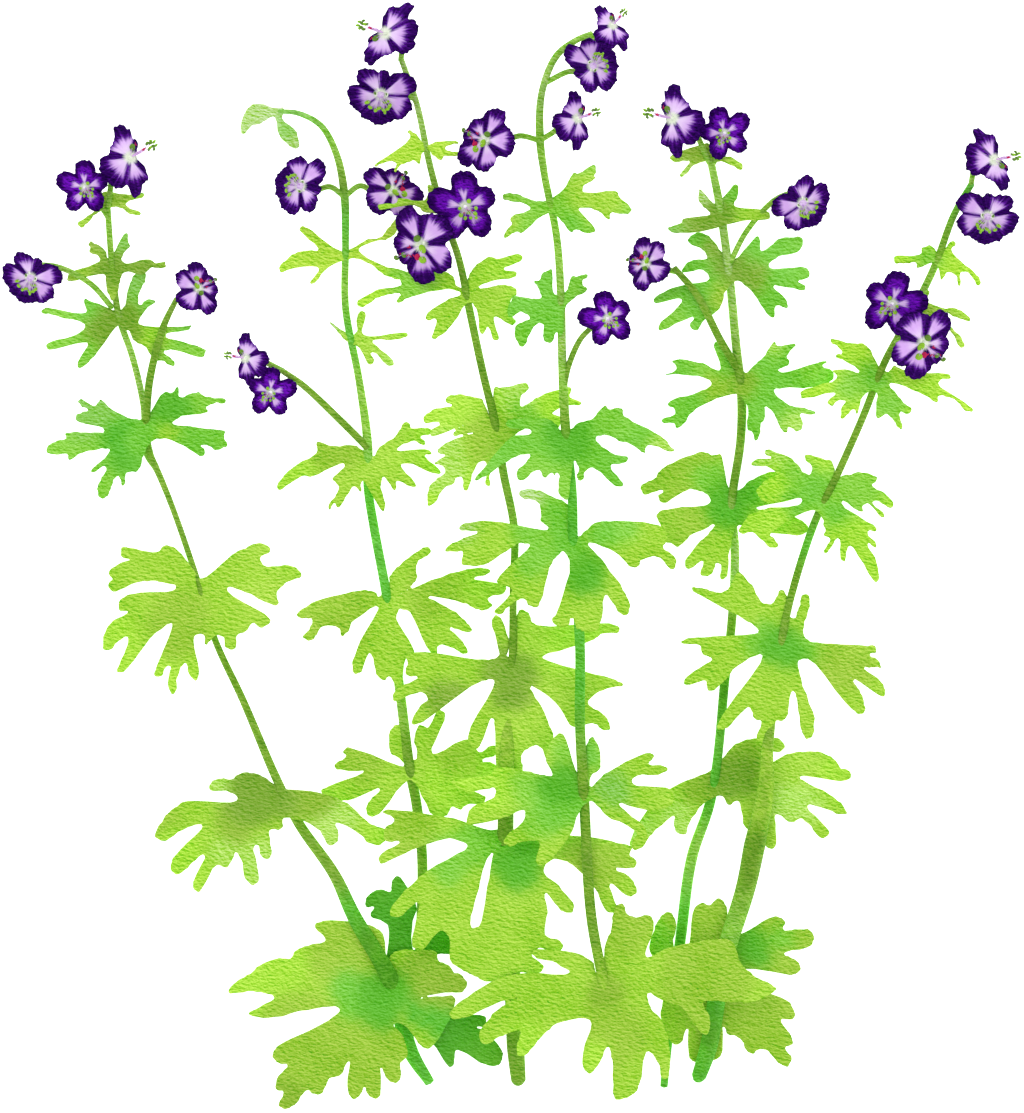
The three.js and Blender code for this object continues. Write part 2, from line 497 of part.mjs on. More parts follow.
// A leaf's blade round its stem. From the seat it arches up and then hangs towards its
// tips; on the foot's side of the seat it lies over the stem, and beyond it, under.
function leafSolid(path, leaf) {
  const { height, radius, ahead } = stemAt(path, leaf.seat);
  const lobes = orderedLobes(leaf.seat, leaf.lobes);
  const span = Math.max(...lobes.flatMap(({ fingers }) => fingers.map((finger) => finger.reach)));
  const halfWidth = leaf.finger ?? fingerHalfWidth + fingerHalfWidthPerReach * span;
  const middleHeight = height + 0.25 * radius;
  const lift = ([x, y]) => {
    const east = x - leaf.seat[0];
    const north = y - leaf.seat[1];
    const out = Math.hypot(east, north) / span;
    const along = (east * ahead.x + north * ahead.y) / tuckRun;
    const tuck = -(0.9 * radius + 0.7) * Math.tanh(along);
    const arch = leaf.arch * 4 * out * (1 - out);
    const fall = -leaf.droop * out * out;
    return [x, y, Math.max(middleHeight + tuck + arch + fall, lowestBlade)];
  };

  const points = [[...leaf.seat, middleHeight]];
  const triangles = [];
  const rim = [];
  const starts = [];
  lobes.forEach((lobe, index) => {
    const before = lobes[(index + lobes.length - 1) % lobes.length].fingers.at(-1);
    const after = lobes[(index + 1) % lobes.length].fingers[0];
    starts.push(points.length);
    for (const point of lobeOutline(leaf.seat, lobe, before, after, halfWidth)) {
      rim.push(points.length);
      points.push(lift(point));
    }
  });
  lobes.forEach((lobe, index) => {
    const start = starts[index];
    const end = index + 1 < lobes.length ? starts[index + 1] : points.length;
    const next = index + 1 < lobes.length ? starts[index + 1] : starts[0];
    const loop = [];
    for (let point = start; point < end; point += 1) {
      loop.push(point);
    }
    loop.push(next);
    const [from, to] = [points[start], points[next]].map(([x, y]) => (
      Math.atan2(y - leaf.seat[1], x - leaf.seat[0])
    ));
    if ((to - from + 2 * Math.PI) % (2 * Math.PI) < widestPalm) {
      triangles.push([0, start, next]);
    } else {
      loop.unshift(0);
    }
    const contour = loop.map((point) => new THREE.Vector2(points[point][0], points[point][1]));
    for (const corners of THREE.ShapeUtils.triangulateShape(contour, [])) {
      triangles.push(corners.map((corner) => loop[corner]));
    }
  });
  return sheetSolid(points, triangles, rim);
}

// ---- Blooms -------------------------------------------------------------------------

// A bloom's own frame: its Z axis is its face's direction.
function bloomFrame({ kind, at, bearing }) {
  const lean = THREE.MathUtils.degToRad(bloomKinds[kind].lean);
  const heading = THREE.MathUtils.degToRad(bearing);
  const facing = new THREE.Vector3(
    Math.sin(lean) * Math.cos(heading),
    Math.sin(lean) * Math.sin(heading),
    Math.cos(lean),
  );
  const turned = new THREE.Quaternion().setFromUnitVectors(new THREE.Vector3(0, 0, 1), facing);
  return { middle: new THREE.Vector3(...at), facing, turned };
}

// The corolla: a flat middle with five petals on it. A petal's edge goes from a notch over
// its side and its two tips, and back down its other side to the next notch.
function corollaSolid({ kind, radius, bearing, turn: petalTurn = bearing }) {
  const { notch, petal, cup } = bloomKinds[kind];
  const first = THREE.MathUtils.degToRad(petalTurn);
  const spacing = (2 * Math.PI) / petalCount;
  const petalHalf = THREE.MathUtils.degToRad(petal);
  const points = [[0, 0, 0]];
  const place = (angle, reach, ruffle) => {
    const distance = reach * radius;
    const bowl = cup * Math.max(distance - flatMiddle, 0);
    points.push([distance * Math.cos(angle), distance * Math.sin(angle), bowl + ruffle]);
    return points.length - 1;
  };
  const ring = [];
  const petals = [];
  for (let index = 0; index < petalCount; index += 1) {
    const middle = first + index * spacing;
    ring.push(place(middle, flatMiddle / radius, 0));
    petals.push([
      place(middle - spacing / 2, notch, 0),
      place(middle - petalHalf, 0.78, 0.3),
      place(middle - 0.5 * petalHalf, 1, -0.3),
      place(middle + 0.5 * petalHalf, 1, -0.3),
      place(middle + petalHalf, 0.78, 0.3),
    ]);
  }
  const triangles = [];
  petals.forEach((petalPoints, index) => {
    const following = (index + 1) % petalCount;
    const edge = [...petalPoints, petals[following][0]];
    triangles.push([0, ring[index], ring[following]]);
    for (let corner = 0; corner < edge.length - 1; corner += 1) {
      triangles.push([ring[index], edge[corner], edge[corner + 1]]);
    }
    triangles.push([ring[index], edge[edge.length - 1], ring[following]]);
  });
  return sheetSolid(points, triangles, petals.flat());
}

// The bloom's middle: a low knob, the style standing on it, and the stamens that spread
// from it, each a three-sided club with its anther at the end.
function centreSolid({ kind, bearing, turn: petalTurn = bearing }) {
  const { stamens, style, spread } = bloomKinds[kind];
  const base = bladeThickness / 2 + seatGap;
  const knob = new THREE.CylinderGeometry(knobRadius * 0.8, knobRadius, knobHeight, 5);
  knob.rotateX(Math.PI / 2).translate(0, 0, base + knobHeight / 2);
  let solid = solidFromGeometry(knob);
  const stylePath = [[0, 0, base + 0.3, 2 * styleRadius], [0, 0, base + style, 1.6 * styleRadius]];
  solid = solid.add(stalkSolid(stylePath, 3, 1));
  for (let index = 0; index < clubCount; index += 1) {
    const angle = THREE.MathUtils.degToRad(petalTurn + 36 + (index * 360) / clubCount);
    const eastward = Math.cos(angle);
    const northward = Math.sin(angle);
    const club = [0, 1 - antherLength / stamens, 1];
    const widths = [filamentRadius, filamentRadius, antherRadius];
    const path = club.map((share, step) => {
      const out = 0.6 + (spread - 0.6) * share;
      const up = base + 0.4 + (stamens - 0.4) * share;
      return [out * eastward, out * northward, up, 2 * widths[step]];
    });
    solid = solid.add(clubSolid(path));
  }
  return solid;
}

// A three-sided club through its path's points, with no rounding between them.
function clubSolid(path) {
  const positions = [];
  const faces = [];
  const sides = 3;
  const foot = new THREE.Vector3(...path[0].slice(0, 3));
  const top = new THREE.Vector3(...path[path.length - 1].slice(0, 3));
  const ahead = top.sub(foot).normalize();
  const across = new THREE.Vector3(0, 0, 1).cross(ahead).normalize();
  const upright = new THREE.Vector3().crossVectors(ahead, across);
  for (const [x, y, z, width] of path) {
    for (let side = 0; side < sides; side += 1) {
      const angle = (side / sides) * 2 * Math.PI;
      const point = new THREE.Vector3(x, y, z);
      point.addScaledVector(across, (width / 2) * Math.cos(angle));
      point.addScaledVector(upright, (width / 2) * Math.sin(angle));
      positions.push(point.x, point.y, point.z);
    }
  }
  for (let step = 0; step < path.length - 1; step += 1) {
    for (let side = 0; side < sides; side += 1) {
      const a = step * sides + side;
      const b = step * sides + ((side + 1) % sides);
      faces.push(a, b, a + sides, b, b + sides, a + sides);
    }
  }
  const last = (path.length - 1) * sides;
  faces.push(0, 2, 1, last, last + 1, last + 2);
  return solidFrom(positions, faces);
}

// The stalk to a bloom, which widens into the green receptacle that the corolla sits on.
function stalkAndReceptacle(bloom) {
  const { middle, facing } = bloomFrame(bloom);
  const under = -bladeThickness / 2 - seatGap;
  const top = under - endBluntness * 2 * receptacleRadius;
  const behind = (distance, width) => {
    const point = middle.clone().addScaledVector(facing, distance);
    return [point.x, point.y, point.z, width];
  };
  const path = [
    ...bloom.stalk.map((point) => [...point, stalkWidth]),
    behind(top - receptacleLength - 3, stalkWidth),
    behind(top - receptacleLength, stalkWidth),
    behind(top, 2 * receptacleRadius),
  ];
  return stalkSolid(path, stalkSides, path.length - 1);
}

// ---- Assembly -----------------------------------------------------------------------

const leafGreens = [0x8fce35, 0x86c83a, 0xa2d23c, 0x74c23a, 0x7cc43c, 0x9ad23a];
const petalViolet = 0x4c1a96;
const centreGreen = 0xbfd28a;

function stemSolid({ path, side, leaves, blooms }) {
  let solid = stalkSolid(path, stemSides, path.length - 1);
  for (const branch of side) {
    solid = solid.add(stalkSolid(branch, stalkSides, branch.length));
  }
  for (const leaf of leaves) {
    solid = solid.add(leafSolid(path, leaf));
  }
  for (const bloom of blooms) {
    solid = solid.add(stalkAndReceptacle(bloom));
  }
  const surface = new THREE.BoxGeometry(600, 600, 20);
  surface.translate(0, 0, -10);
  return solid.subtract(solidFromGeometry(surface));
}

function namedMesh(name, solid, colour, roughness) {
  const material = new THREE.MeshStandardMaterial({ color: colour, roughness, metalness: 0 });
  const mesh = new THREE.Mesh(geometryFromSolid(solid), material);
  mesh.name = name;
  return mesh;
}

const clump = new THREE.Group();
clump.position.set(-plantMiddle[0], -plantMiddle[1], 0);
let bloomNumber = 0;
stems.forEach((stem, index) => {
  clump.add(namedMesh(stem.name, stemSolid(stem), leafGreens[index], 0.7));
  for (const bloom of stem.blooms) {
    bloomNumber += 1;
    const label = `bloom_${String(bloomNumber).padStart(2, '0')}`;
    const { middle, turned } = bloomFrame(bloom);
    const corolla = namedMesh(`${label}_petals`, corollaSolid(bloom), petalViolet, 0.6);
    const centre = namedMesh(`${label}_centre`, centreSolid(bloom), centreGreen, 0.6);
    for (const mesh of [corolla, centre]) {
      mesh.position.copy(middle);
      mesh.quaternion.copy(turned);
      clump.add(mesh);
    }
  }
});

const plant = new THREE.Group();
plant.add(clump);

export default plant;
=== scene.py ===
import math

import bpy
import numpy as np
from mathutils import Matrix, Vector


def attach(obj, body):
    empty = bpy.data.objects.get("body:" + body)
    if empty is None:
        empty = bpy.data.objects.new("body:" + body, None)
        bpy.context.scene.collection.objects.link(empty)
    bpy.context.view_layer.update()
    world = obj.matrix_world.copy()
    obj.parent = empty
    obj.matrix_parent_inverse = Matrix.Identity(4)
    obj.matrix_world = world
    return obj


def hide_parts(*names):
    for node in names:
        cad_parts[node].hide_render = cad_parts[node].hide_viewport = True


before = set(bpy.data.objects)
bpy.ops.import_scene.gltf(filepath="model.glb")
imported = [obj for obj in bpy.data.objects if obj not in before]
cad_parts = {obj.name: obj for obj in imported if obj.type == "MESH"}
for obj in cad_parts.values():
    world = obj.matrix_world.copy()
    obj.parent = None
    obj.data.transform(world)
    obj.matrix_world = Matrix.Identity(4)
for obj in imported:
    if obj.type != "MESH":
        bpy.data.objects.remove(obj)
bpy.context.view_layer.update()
print("frame loaded")

mm = 0.001
plantMiddle = np.array([-0.34, 2.33])  # the clump's middle in the stems' own x and y
aRadian = 57.3  # degrees
tenths = 10  # of a bloom's radius, the measure of its petals' masks

# Greens and violets by name, as 0 to 255 red, green, blue on a screen.
paints = {
    "yellowLime": (178, 224, 68), "sunLime": (174, 228, 62), "brightLime": (166, 222, 62),
    "lime": (164, 213, 66), "meadow": (159, 210, 60), "lightLime": (174, 222, 94),
    "paleLeaf": (176, 214, 124), "duskLime": (152, 197, 58), "oliveDusk": (139, 182, 52),
    "darkOlive": (124, 167, 52), "mossy": (137, 177, 64), "fern": (136, 206, 66),
    "softGreen": (134, 198, 82), "springGreen": (128, 202, 64), "grass": (118, 199, 62),
    "green": (90, 184, 50), "deepGreen": (94, 182, 46), "darkGreen": (82, 166, 42),
    "stemDark": (121, 165, 46), "stemOlive": (131, 175, 56), "stemPale": (161, 201, 99),
    "stemGreen": (102, 194, 60), "stemDeep": (96, 169, 40), "stemLime": (149, 203, 74),
    "antherLime": (140, 192, 48), "antherOlive": (98, 138, 48), "pistilRed": (190, 32, 84),
    "filament": (206, 166, 226), "styleLilac": (214, 176, 222), "eyeWhite": (226, 234, 214),
    "white": (250, 248, 252), "blush": (222, 196, 236),
}


def linearColour(rgb):
    # screen value to linear light: (c/255 + 0.055)/1.055 to the power 2.4
    c = np.asarray(rgb, float) / 255
    return np.where(c > 0.04045, ((c + 0.055) / 1.055) ** 2.4, c / 12.92)


def paint(name):
    return linearColour(paints[name])


def anyPhase(chance):
    return chance.uniform(0, 6.3)  # somewhere in a full turn


# The six stems, in mm. Path and side stalks: x, y, height, width. Leaves: seat, washes as x, y,
# reach and green, and edge as x, y, x, y and so on round the blade. Blooms: place, radius,
# bearing of the lean, degrees of turn where it differs, and the stalk's points.
stems = {
    "stem_1": {
        "path": [(-37, -237, 6, 4.5), (-46, -222, 8.5, 7), (-54, -192, 11, 8), (-71, -162, 11, 6.6),
            (-80, -143, 11, 5.3), (-96, -120, 11, 4.6), (-106, -100, 10.5, 4), (-121, -65, 7, 3.4),
            (-134, -37, 3.6, 3), (-142, -10, 2, 2.8), (-153, 22, 1.3, 2.7), (-160, 39, 1.4, 3),
            (-164, 47, 1.9, 4.6), (-166, 68, 2.4, 3), (-171, 90, 4, 3), (-177, 108, 6, 3),
            (-180, 130, 8, 2.8), (-182, 157, 10.5, 2.8)],
        "side": [
            [(-165, 60, 2.2, 3.4), (-163, 80, 10, 3.6), (-157, 103, 13, 3.2), (-151, 116, 10, 2.4)],
        ],
        "leaves": [
            {"seat": (-57, -193), "droop": 8, "arch": 3, "blade": "meadow",
             "washes": [(-112, -190, 22, "brightLime"), (-110, -203, 14, "brightLime"),
              (-95, -226, 30, "duskLime"), (-66, -226, 24, "duskLime"),
              (-34, -190, 20, "oliveDusk"), (-75, -178, 18, "duskLime"),
              (-100, -246, 11, "oliveDusk"), (-72, -197, 11, "grass"), (-58, -199, 14, "deepGreen"),
              (-44, -205, 5, "green"), (-37, -208, 6, "green"), (-30, -211, 7, "green")],
             "edge": [-30, -196, -23, -196, -20, -192, -23, -188, -26, -187, -28, -184, -33, -182,
              -34, -178, -44, -177, -53, -178, -56, -183, -57, -190, -58, -170, -64, -166, -85,
              -164, -89, -166, -84, -173, -92, -175, -98, -178, -100, -181, -106, -181, -115, -185,
              -118, -188, -125, -192, -128, -197, -119, -196, -110, -197, -107, -199, -119, -206,
              -110, -208, -92, -204, -78, -203, -78, -205, -87, -211, -105, -220, -108, -224, -105,
              -228, -101, -229, -106, -235, -106, -240, -103, -241, -105, -247, -102, -249, -97,
              -246, -92, -240, -89, -242, -86, -242, -82, -235, -77, -233, -73, -226, -74, -241,
              -71, -244, -68, -242, -66, -238, -65, -242, -61, -244, -59, -241, -59, -230, -56,
              -235, -52, -237, -50, -234, -50, -228, -47, -224, -49, -216, -54, -209, -47, -212,
              -41, -220, -37, -221, -28, -208, -26, -203, -26, -198, -36, -198, -47, -200]},
            {"seat": (-53, -195), "droop": 10.5, "arch": 0, "blade": "darkGreen",
             "washes": [],
             "edge": [-50, -208, -36, -219, -28, -230, -26, -228, -25, -222, -12, -229, -6, -229,
              -4, -224, -13, -213, -16, -212, -12, -211, -12, -207, -20, -206, -28, -203, -45, -200,
              -38, -184, -33, -179, -27, -179, -26, -172, -29, -170, -31, -167, -44, -178, -45,
              -166, -43, -158, -48, -148, -51, -144, -54, -146, -55, -151, -60, -150, -65, -153,
              -66, -158, -62, -158, -64, -162, -56, -166, -57, -190]},
            {"seat": (-104, -108), "droop": 8, "arch": 2, "blade": "meadow",
             "washes": [(-158, -124, 14, "duskLime"), (-150, -138, 15, "brightLime"),
              (-116, -140, 13, "lightLime"), (-82, -117, 15, "lightLime"),
              (-128, -134, 8, "lightLime"), (-128, -101, 12, "lightLime"),
              (-62, -127, 8, "brightLime"), (-90, -108, 12, "oliveDusk"),
              (-124, -118, 11, "oliveDusk"), (-116, -107, 15, "darkOlive"),
              (-103, -110, 8, "darkOlive")],
             "edge": [-104, -104, -112, -99, -119, -97, -123, -98, -126, -100, -132, -100, -136,
              -102, -136, -105, -127, -106, -124, -108, -124, -110, -146, -110, -152, -113, -157,
              -118, -161, -126, -159, -128, -156, -128, -146, -122, -139, -121, -152, -135, -154,
              -140, -152, -143, -148, -142, -143, -137, -138, -134, -144, -149, -141, -151, -133,
              -139, -129, -140, -126, -137, -124, -133, -122, -136, -120, -145, -117, -148, -114,
              -146, -116, -130, -114, -130, -113, -135, -110, -136, -108, -134, -109, -123, -105,
              -123, -103, -121, -103, -118, -98, -118, -88, -122, -82, -130, -79, -129, -78, -125,
              -79, -120, -67, -126, -66, -128, -61, -130, -57, -128, -56, -124, -59, -122, -64,
              -120, -74, -111, -87, -106]},
            {"seat": (-141, -17), "droop": 1.5, "arch": 4, "blade": "meadow",
             "washes": [(-120, -8, 18, "lime"), (-178, -42, 14, "brightLime"),
              (-152, -52, 12, "brightLime"), (-150, -30, 16, "duskLime")],
             "edge": [-144, -5, -152, 4, -156, 5, -158, 4, -160, 2, -172, 4, -176, 4, -176, 0, -169,
              -2, -174, -2, -180, -5, -182, -8, -180, -10, -182, -12, -180, -16, -170, -12, -163,
              -11, -156, -12, -152, -13, -152, -15, -164, -16, -172, -17, -177, -20, -177, -24,
              -173, -25, -181, -30, -184, -36, -184, -42, -181, -42, -177, -38, -173, -36, -174,
              -42, -178, -52, -175, -52, -163, -37, -157, -32, -153, -30, -160, -49, -161, -54,
              -158, -54, -156, -50, -154, -49, -155, -59, -153, -62, -151, -60, -151, -56, -149,
              -50, -147, -48, -145, -54, -142, -56, -141, -51, -143, -36, -139, -35, -138, -40,
              -134, -36, -130, -36, -129, -41, -126, -42, -124, -40, -124, -36, -119, -33, -117,
              -30, -113, -32, -109, -30, -109, -28, -128, -16, -128, -14, -120, -16, -107, -22,
              -105, -21, -106, -17, -102, -12, -95, -9, -96, -6, -100, -4, -112, -4, -113, 0, -109,
              2, -110, 5, -115, 6, -120, 4, -126, 1, -140, -10]},
            {"seat": (-165.5, 61), "droop": 1, "arch": 4, "blade": "grass",
             "washes": [(-200, 49, 16, "fern"), (-190, 66, 14, "softGreen"), (-138, 69, 10, "fern"),
              (-156, 56, 6, "meadow"), (-182, 33, 8, "fern"), (-174, 44, 8, "deepGreen"),
              (-153, 67, 9, "deepGreen"), (-176, 54, 8, "green"), (-167, 54, 8, "grass")],
             "edge": [-170, 62, -178, 65, -186, 71, -186, 70, -189, 68, -194, 71, -196, 70, -194,
              68, -191, 66, -194, 65, -196, 64, -196, 61, -185, 58, -183, 56, -190, 56, -200, 56,
              -201, 56, -201, 53, -206, 52, -210, 48, -208, 46, -200, 46, -200, 44, -200, 43, -195,
              46, -188, 48, -181, 48, -190, 38, -190, 37, -183, 41, -183, 39, -186, 33, -187, 30,
              -186, 27, -184, 26, -181, 29, -180, 33, -178, 36, -177, 36, -176, 33, -175, 32, -174,
              34, -174, 37, -172, 38, -168, 39, -165, 48, -160, 53, -150, 51, -139, 45, -138, 47,
              -140, 50, -137, 50, -134, 48, -128, 50, -128, 51, -130, 54, -129, 56, -130, 57, -153,
              60, -149, 63, -137, 65, -138, 67, -134, 69, -130, 69, -129, 71, -138, 72, -141, 74,
              -143, 74, -148, 72, -150, 72, -150, 76, -151, 76, -153, 74, -157, 74, -165, 63]},
            {"seat": (-177, 107), "droop": 3, "arch": 3, "blade": "mossy",
             "washes": [(-206, 110, 15, "fern"), (-206, 96, 14, "fern"),
              (-193, 90, 8, "springGreen"), (-191, 114, 9, "grass"), (-146, 93, 15, "fern"),
              (-149, 104, 9, "grass"), (-163, 100, 9, "brightLime"), (-168, 122, 10, "softGreen"),
              (-165, 113, 6, "grass"), (-177, 104, 12, "darkOlive")],
             "edge": [-178, 111, -182, 112, -192, 116, -193, 116, -192, 110, -208, 112, -211, 112,
              -212, 110, -208, 109, -193, 105, -192, 104, -196, 100, -209, 96, -210, 94, -208, 93,
              -191, 96, -196, 86, -194, 85, -188, 90, -177, 104, -175, 102, -173, 102, -170, 97,
              -166, 95, -160, 88, -157, 88, -154, 86, -152, 86, -152, 88, -157, 92, -154, 93, -139,
              90, -138, 92, -138, 93, -142, 95, -156, 99, -156, 100, -146, 102, -144, 104, -145,
              104, -168, 105, -164, 112, -161, 114, -161, 115, -164, 116, -168, 113, -168, 118,
              -165, 125, -165, 128, -170, 127, -173, 120, -175, 112]},
            {"seat": (-180, 129), "droop": 3, "arch": 2, "blade": "mossy",
             "washes": [(-196, 127, 13, "duskLime"), (-158, 132, 6, "duskLime"),
              (-172, 142, 8, "softGreen"), (-179, 119, 6, "duskLime"), (-166, 131, 8, "darkOlive"),
              (-180, 128, 9, "darkOlive")],
             "edge": [-183, 138, -188, 141, -190, 142, -191, 140, -190, 139, -190, 137, -186, 135,
              -186, 133, -200, 127, -200, 124, -198, 124, -184, 127, -183, 125, -182, 119, -180,
              115, -177, 120, -176, 126, -174, 128, -166, 127, -162, 130, -156, 130, -156, 132,
              -156, 133, -160, 132, -163, 134, -174, 132, -176, 134, -175, 136, -172, 140, -173,
              142, -173, 146, -174, 146, -180, 136, -182, 134]},
            {"seat": (-182, 157), "droop": 2, "arch": 1, "blade": "lime",
             "washes": [],
             "edge": [-185, 161, -186, 158, -194, 151, -196, 150, -194, 148, -191, 150, -186, 155,
              -180, 157, -176, 157, -172, 154, -166, 154, -167, 155, -174, 158, -172, 160, -166,
              162, -166, 164, -172, 163, -184, 164]},
        ],
        "blooms": [
            {"kind": "side", "at": (-171.7, 179.3, 19), "radius": 16.6, "bearing": 31,
             "stalk": [(-182, 156, 10.5)]},
            {"kind": "star", "at": (-192, 165.8, 20), "radius": 12.2, "bearing": 250, "turn": 16,
             "stalk": [(-182, 153, 10.3), (-187, 161, 12)]},
            {"kind": "cup", "at": (-216.6, 125.4, 14), "radius": 14, "bearing": 254,
             "stalk": [(-180, 112, 6.5), (-190, 123, 9.5), (-205, 130.5, 9)]},
            {"kind": "open", "at": (-141, 120.4, 14), "radius": 12, "bearing": 33,
             "stalk": [(-151, 116, 10)]},
        ],
    },
    "stem_2": {
        "path": [(-42, -184, 3.2, 4.2), (-41, -166, 2.4, 4.4), (-40.5, -136, 1.3, 4.6),
            (-43, -112, 1.3, 4.6), (-46, -96, 1.3, 4.6), (-51, -57, 1.3, 4.4), (-57, -15, 1.3, 4.3),
            (-62, 12, 1.3, 4.2), (-65, 32, 1.3, 4), (-65, 50, 1.3, 4.2), (-69, 80, 2.2, 3.4),
            (-75, 112, 3, 3.3), (-75, 140, 4, 3.2), (-75.5, 163, 5.5, 3.8), (-79, 181, 7, 3.2),
            (-86, 194, 8.5, 2.8), (-96, 199.5, 9.5, 2.4), (-105, 200.5, 9.5, 2)],
        "side": [
            [(-65, 49, 2, 3.4), (-77, 61, 4, 3.4), (-94, 77, 7, 3), (-104, 84, 9.5, 2.6)],
        ],
        "leaves": [
            {"seat": (-46, -98), "droop": 1, "arch": 3, "blade": "meadow",
             "washes": [(-22, -102, 18, "brightLime"), (-70, -90, 14, "duskLime"),
              (-25, -88, 12, "duskLime")],
             "edge": [-44, -102, -35, -117, -30, -117, -27, -113, -23, -114, -21, -112, -13, -111,
              -12, -108, -20, -105, -8, -104, -7, -94, -14, -92, -7, -89, -8, -85, -15, -88, -19,
              -82, -36, -89, -30, -71, -33, -69, -38, -77, -42, -76, -44, -82, -43, -91, -46, -92,
              -48, -77, -53, -76, -55, -79, -55, -88, -51, -91, -48, -95, -74, -86, -76, -88, -75,
              -90, -80, -94, -79, -96, -66, -97, -82, -103, -86, -106, -82, -109, -74, -110, -59,
              -104, -64, -110, -66, -114, -64, -117, -60, -116, -47, -101]},
            {"seat": (-56, -19), "droop": 0.5, "arch": 3, "blade": "meadow",
             "washes": [(-80, -24, 20, "duskLime"), (-52, -28, 12, "lime"),
              (-35, -15, 14, "duskLime")],
             "edge": [-60, -18, -62, -16, -66, -15, -72, -16, -88, -20, -97, -26, -95, -28, -90,
              -28, -91, -32, -94, -36, -92, -38, -89, -37, -86, -32, -78, -32, -77, -36, -74, -34,
              -72, -30, -60, -22, -70, -42, -72, -49, -71, -53, -68, -52, -64, -43, -61, -53, -58,
              -56, -55, -54, -52, -59, -50, -60, -48, -46, -44, -43, -52, -28, -51, -24, -49, -24,
              -46, -25, -37, -43, -34, -44, -33, -40, -30, -40, -21, -44, -20, -43, -21, -40, -28,
              -32, -21, -34, -18, -34, -20, -30, -27, -24, -38, -18, -22, -21, -15, -24, -11, -24,
              -9, -22, -11, -19, -3, -16, -3, -13, -18, -10, -11, -8, -10, -6, -14, -5, -32, -9,
              -51, -17, -45, -13, -43, -10, -43, -4, -41, -1, -37, 1, -37, 4, -40, 4, -51, -4, -55,
              -9, -56, -13]},
            {"seat": (-65, 44), "droop": 0.5, "arch": 2.5, "blade": "meadow",
             "washes": [(-100, 37, 15, "brightLime"), (-80, 48, 12, "duskLime"),
              (-40, 56, 12, "lime")],
             "edge": [-67, 48, -71, 50, -82, 50, -87, 52, -88, 52, -88, 47, -99, 40, -106, 32, -105,
              30, -95, 36, -90, 36, -76, 42, -76, 40, -82, 34, -80, 34, -78, 31, -80, 27, -83, 22,
              -82, 21, -80, 24, -78, 22, -74, 28, -72, 31, -70, 31, -68, 28, -68, 29, -68, 32, -67,
              34, -58, 20, -57, 22, -59, 33, -58, 36, -53, 30, -52, 31, -52, 34, -44, 31, -43, 32,
              -50, 41, -47, 42, -34, 37, -32, 38, -40, 46, -36, 46, -37, 48, -52, 48, -48, 51, -44,
              52, -40, 50, -39, 51, -41, 54, -37, 55, -36, 56, -38, 58, -46, 58, -46, 60, -48, 61,
              -52, 55, -61, 48, -62, 45]},
            {"seat": (-71, 97), "droop": 1.5, "arch": 2, "blade": "lime",
             "washes": [(-84, 105, 6, "paleLeaf"), (-54, 88, 6, "lightLime")],
             "edge": [-79, 102, -76, 98, -69, 94, -64, 86, -62, 88, -64, 92, -61, 91, -56, 86, -53,
              86, -55, 90, -63, 97, -50, 98, -47, 100, -48, 101, -67, 100, -66, 110, -68, 111, -70,
              107, -70, 102, -71, 100, -73, 100, -84, 107]},
            {"seat": (-75, 135), "droop": 2.5, "arch": 1.5, "blade": "yellowLime",
             "washes": [],
             "edge": [-95, 146, -87, 138, -93, 138, -99, 136, -105, 130, -104, 128, -98, 130, -87,
              130, -91, 123, -89, 123, -83, 130, -73, 134, -69, 134, -63, 131, -56, 126, -48, 125,
              -47, 127, -53, 129, -69, 138, -62, 142, -56, 143, -50, 150, -52, 152, -56, 148, -59,
              144, -65, 143, -74, 138, -78, 138, -92, 148, -94, 149, -96, 148]},
            {"seat": (-102, 200.3), "droop": 3, "arch": 1, "blade": "paleLeaf",
             "washes": [(-100, 193, 7, "softGreen"), (-97, 185, 4, "paleLeaf")],
             "edge": [-103, 202, -106, 202, -115, 204, -118, 203, -122, 196, -122, 192, -121, 190,
              -117, 194, -113, 195, -107, 198, -105, 190, -99, 184, -96, 184, -97, 191, -104, 198,
              -103, 199]},
        ],
        "blooms": [
            {"kind": "cup", "at": (-95.2, 166.5, 13), "radius": 14.3, "bearing": 157,
             "mirrored": True,
             "stalk": [(-75.5, 162, 5.5), (-82, 166.5, 8)]},
            {"kind": "open", "at": (-53.8, 164.7, 10.5), "radius": 14, "bearing": 51,
             "mirrored": True,
             "stalk": [(-75.5, 162, 5.5), (-68, 167, 6.5)]},
            {"kind": "side", "at": (-119.8, 89.2, 13), "radius": 12.2, "bearing": 170,
             "mirrored": True,
             "stalk": [(-103, 83.5, 9.5)]},
            {"kind": "star", "at": (-108.7, 73.8, 14), "radius": 11.3, "bearing": 280, "turn": 160,
             "mirrored": True,
             "stalk": [(-96, 78.5, 7.5), (-103, 78, 8.5)]},
        ],
    },
    "stem_3": {
        "path": [(3, -238, 6.8, 3.4), (2.8, -236, 7.2, 6.6), (1.5, -221, 9.4, 8),
            (0, -190, 13, 7.6), (-3, -150, 14.5, 7.5), (-3, -118, 14, 7.2), (-2, -80, 13, 6.4),
            (0, -48, 12.5, 3.4), (0.5, -14, 12.5, 3.3), (1, 12, 12.8, 3.6), (-4, 38, 13, 3.8),
            (-7, 57, 13, 3.8), (-13, 82, 13, 3.6), (-19, 110, 13, 3.6), (-24, 134, 13, 3.2),
            (-31, 154, 13, 3.2), (-37, 176, 13, 3), (-43, 204, 13, 2.8), (-50, 224, 14, 2.6)],
        "side": [],
        "leaves": [
            {"seat": (-3, -126), "droop": 1.5, "arch": 1.5, "blade": "meadow",
             "washes": [(40, -133, 18, "duskLime"), (-45, -124, 14, "duskLime"),
              (-28, -136, 12, "springGreen"), (-12, -128, 14, "springGreen"),
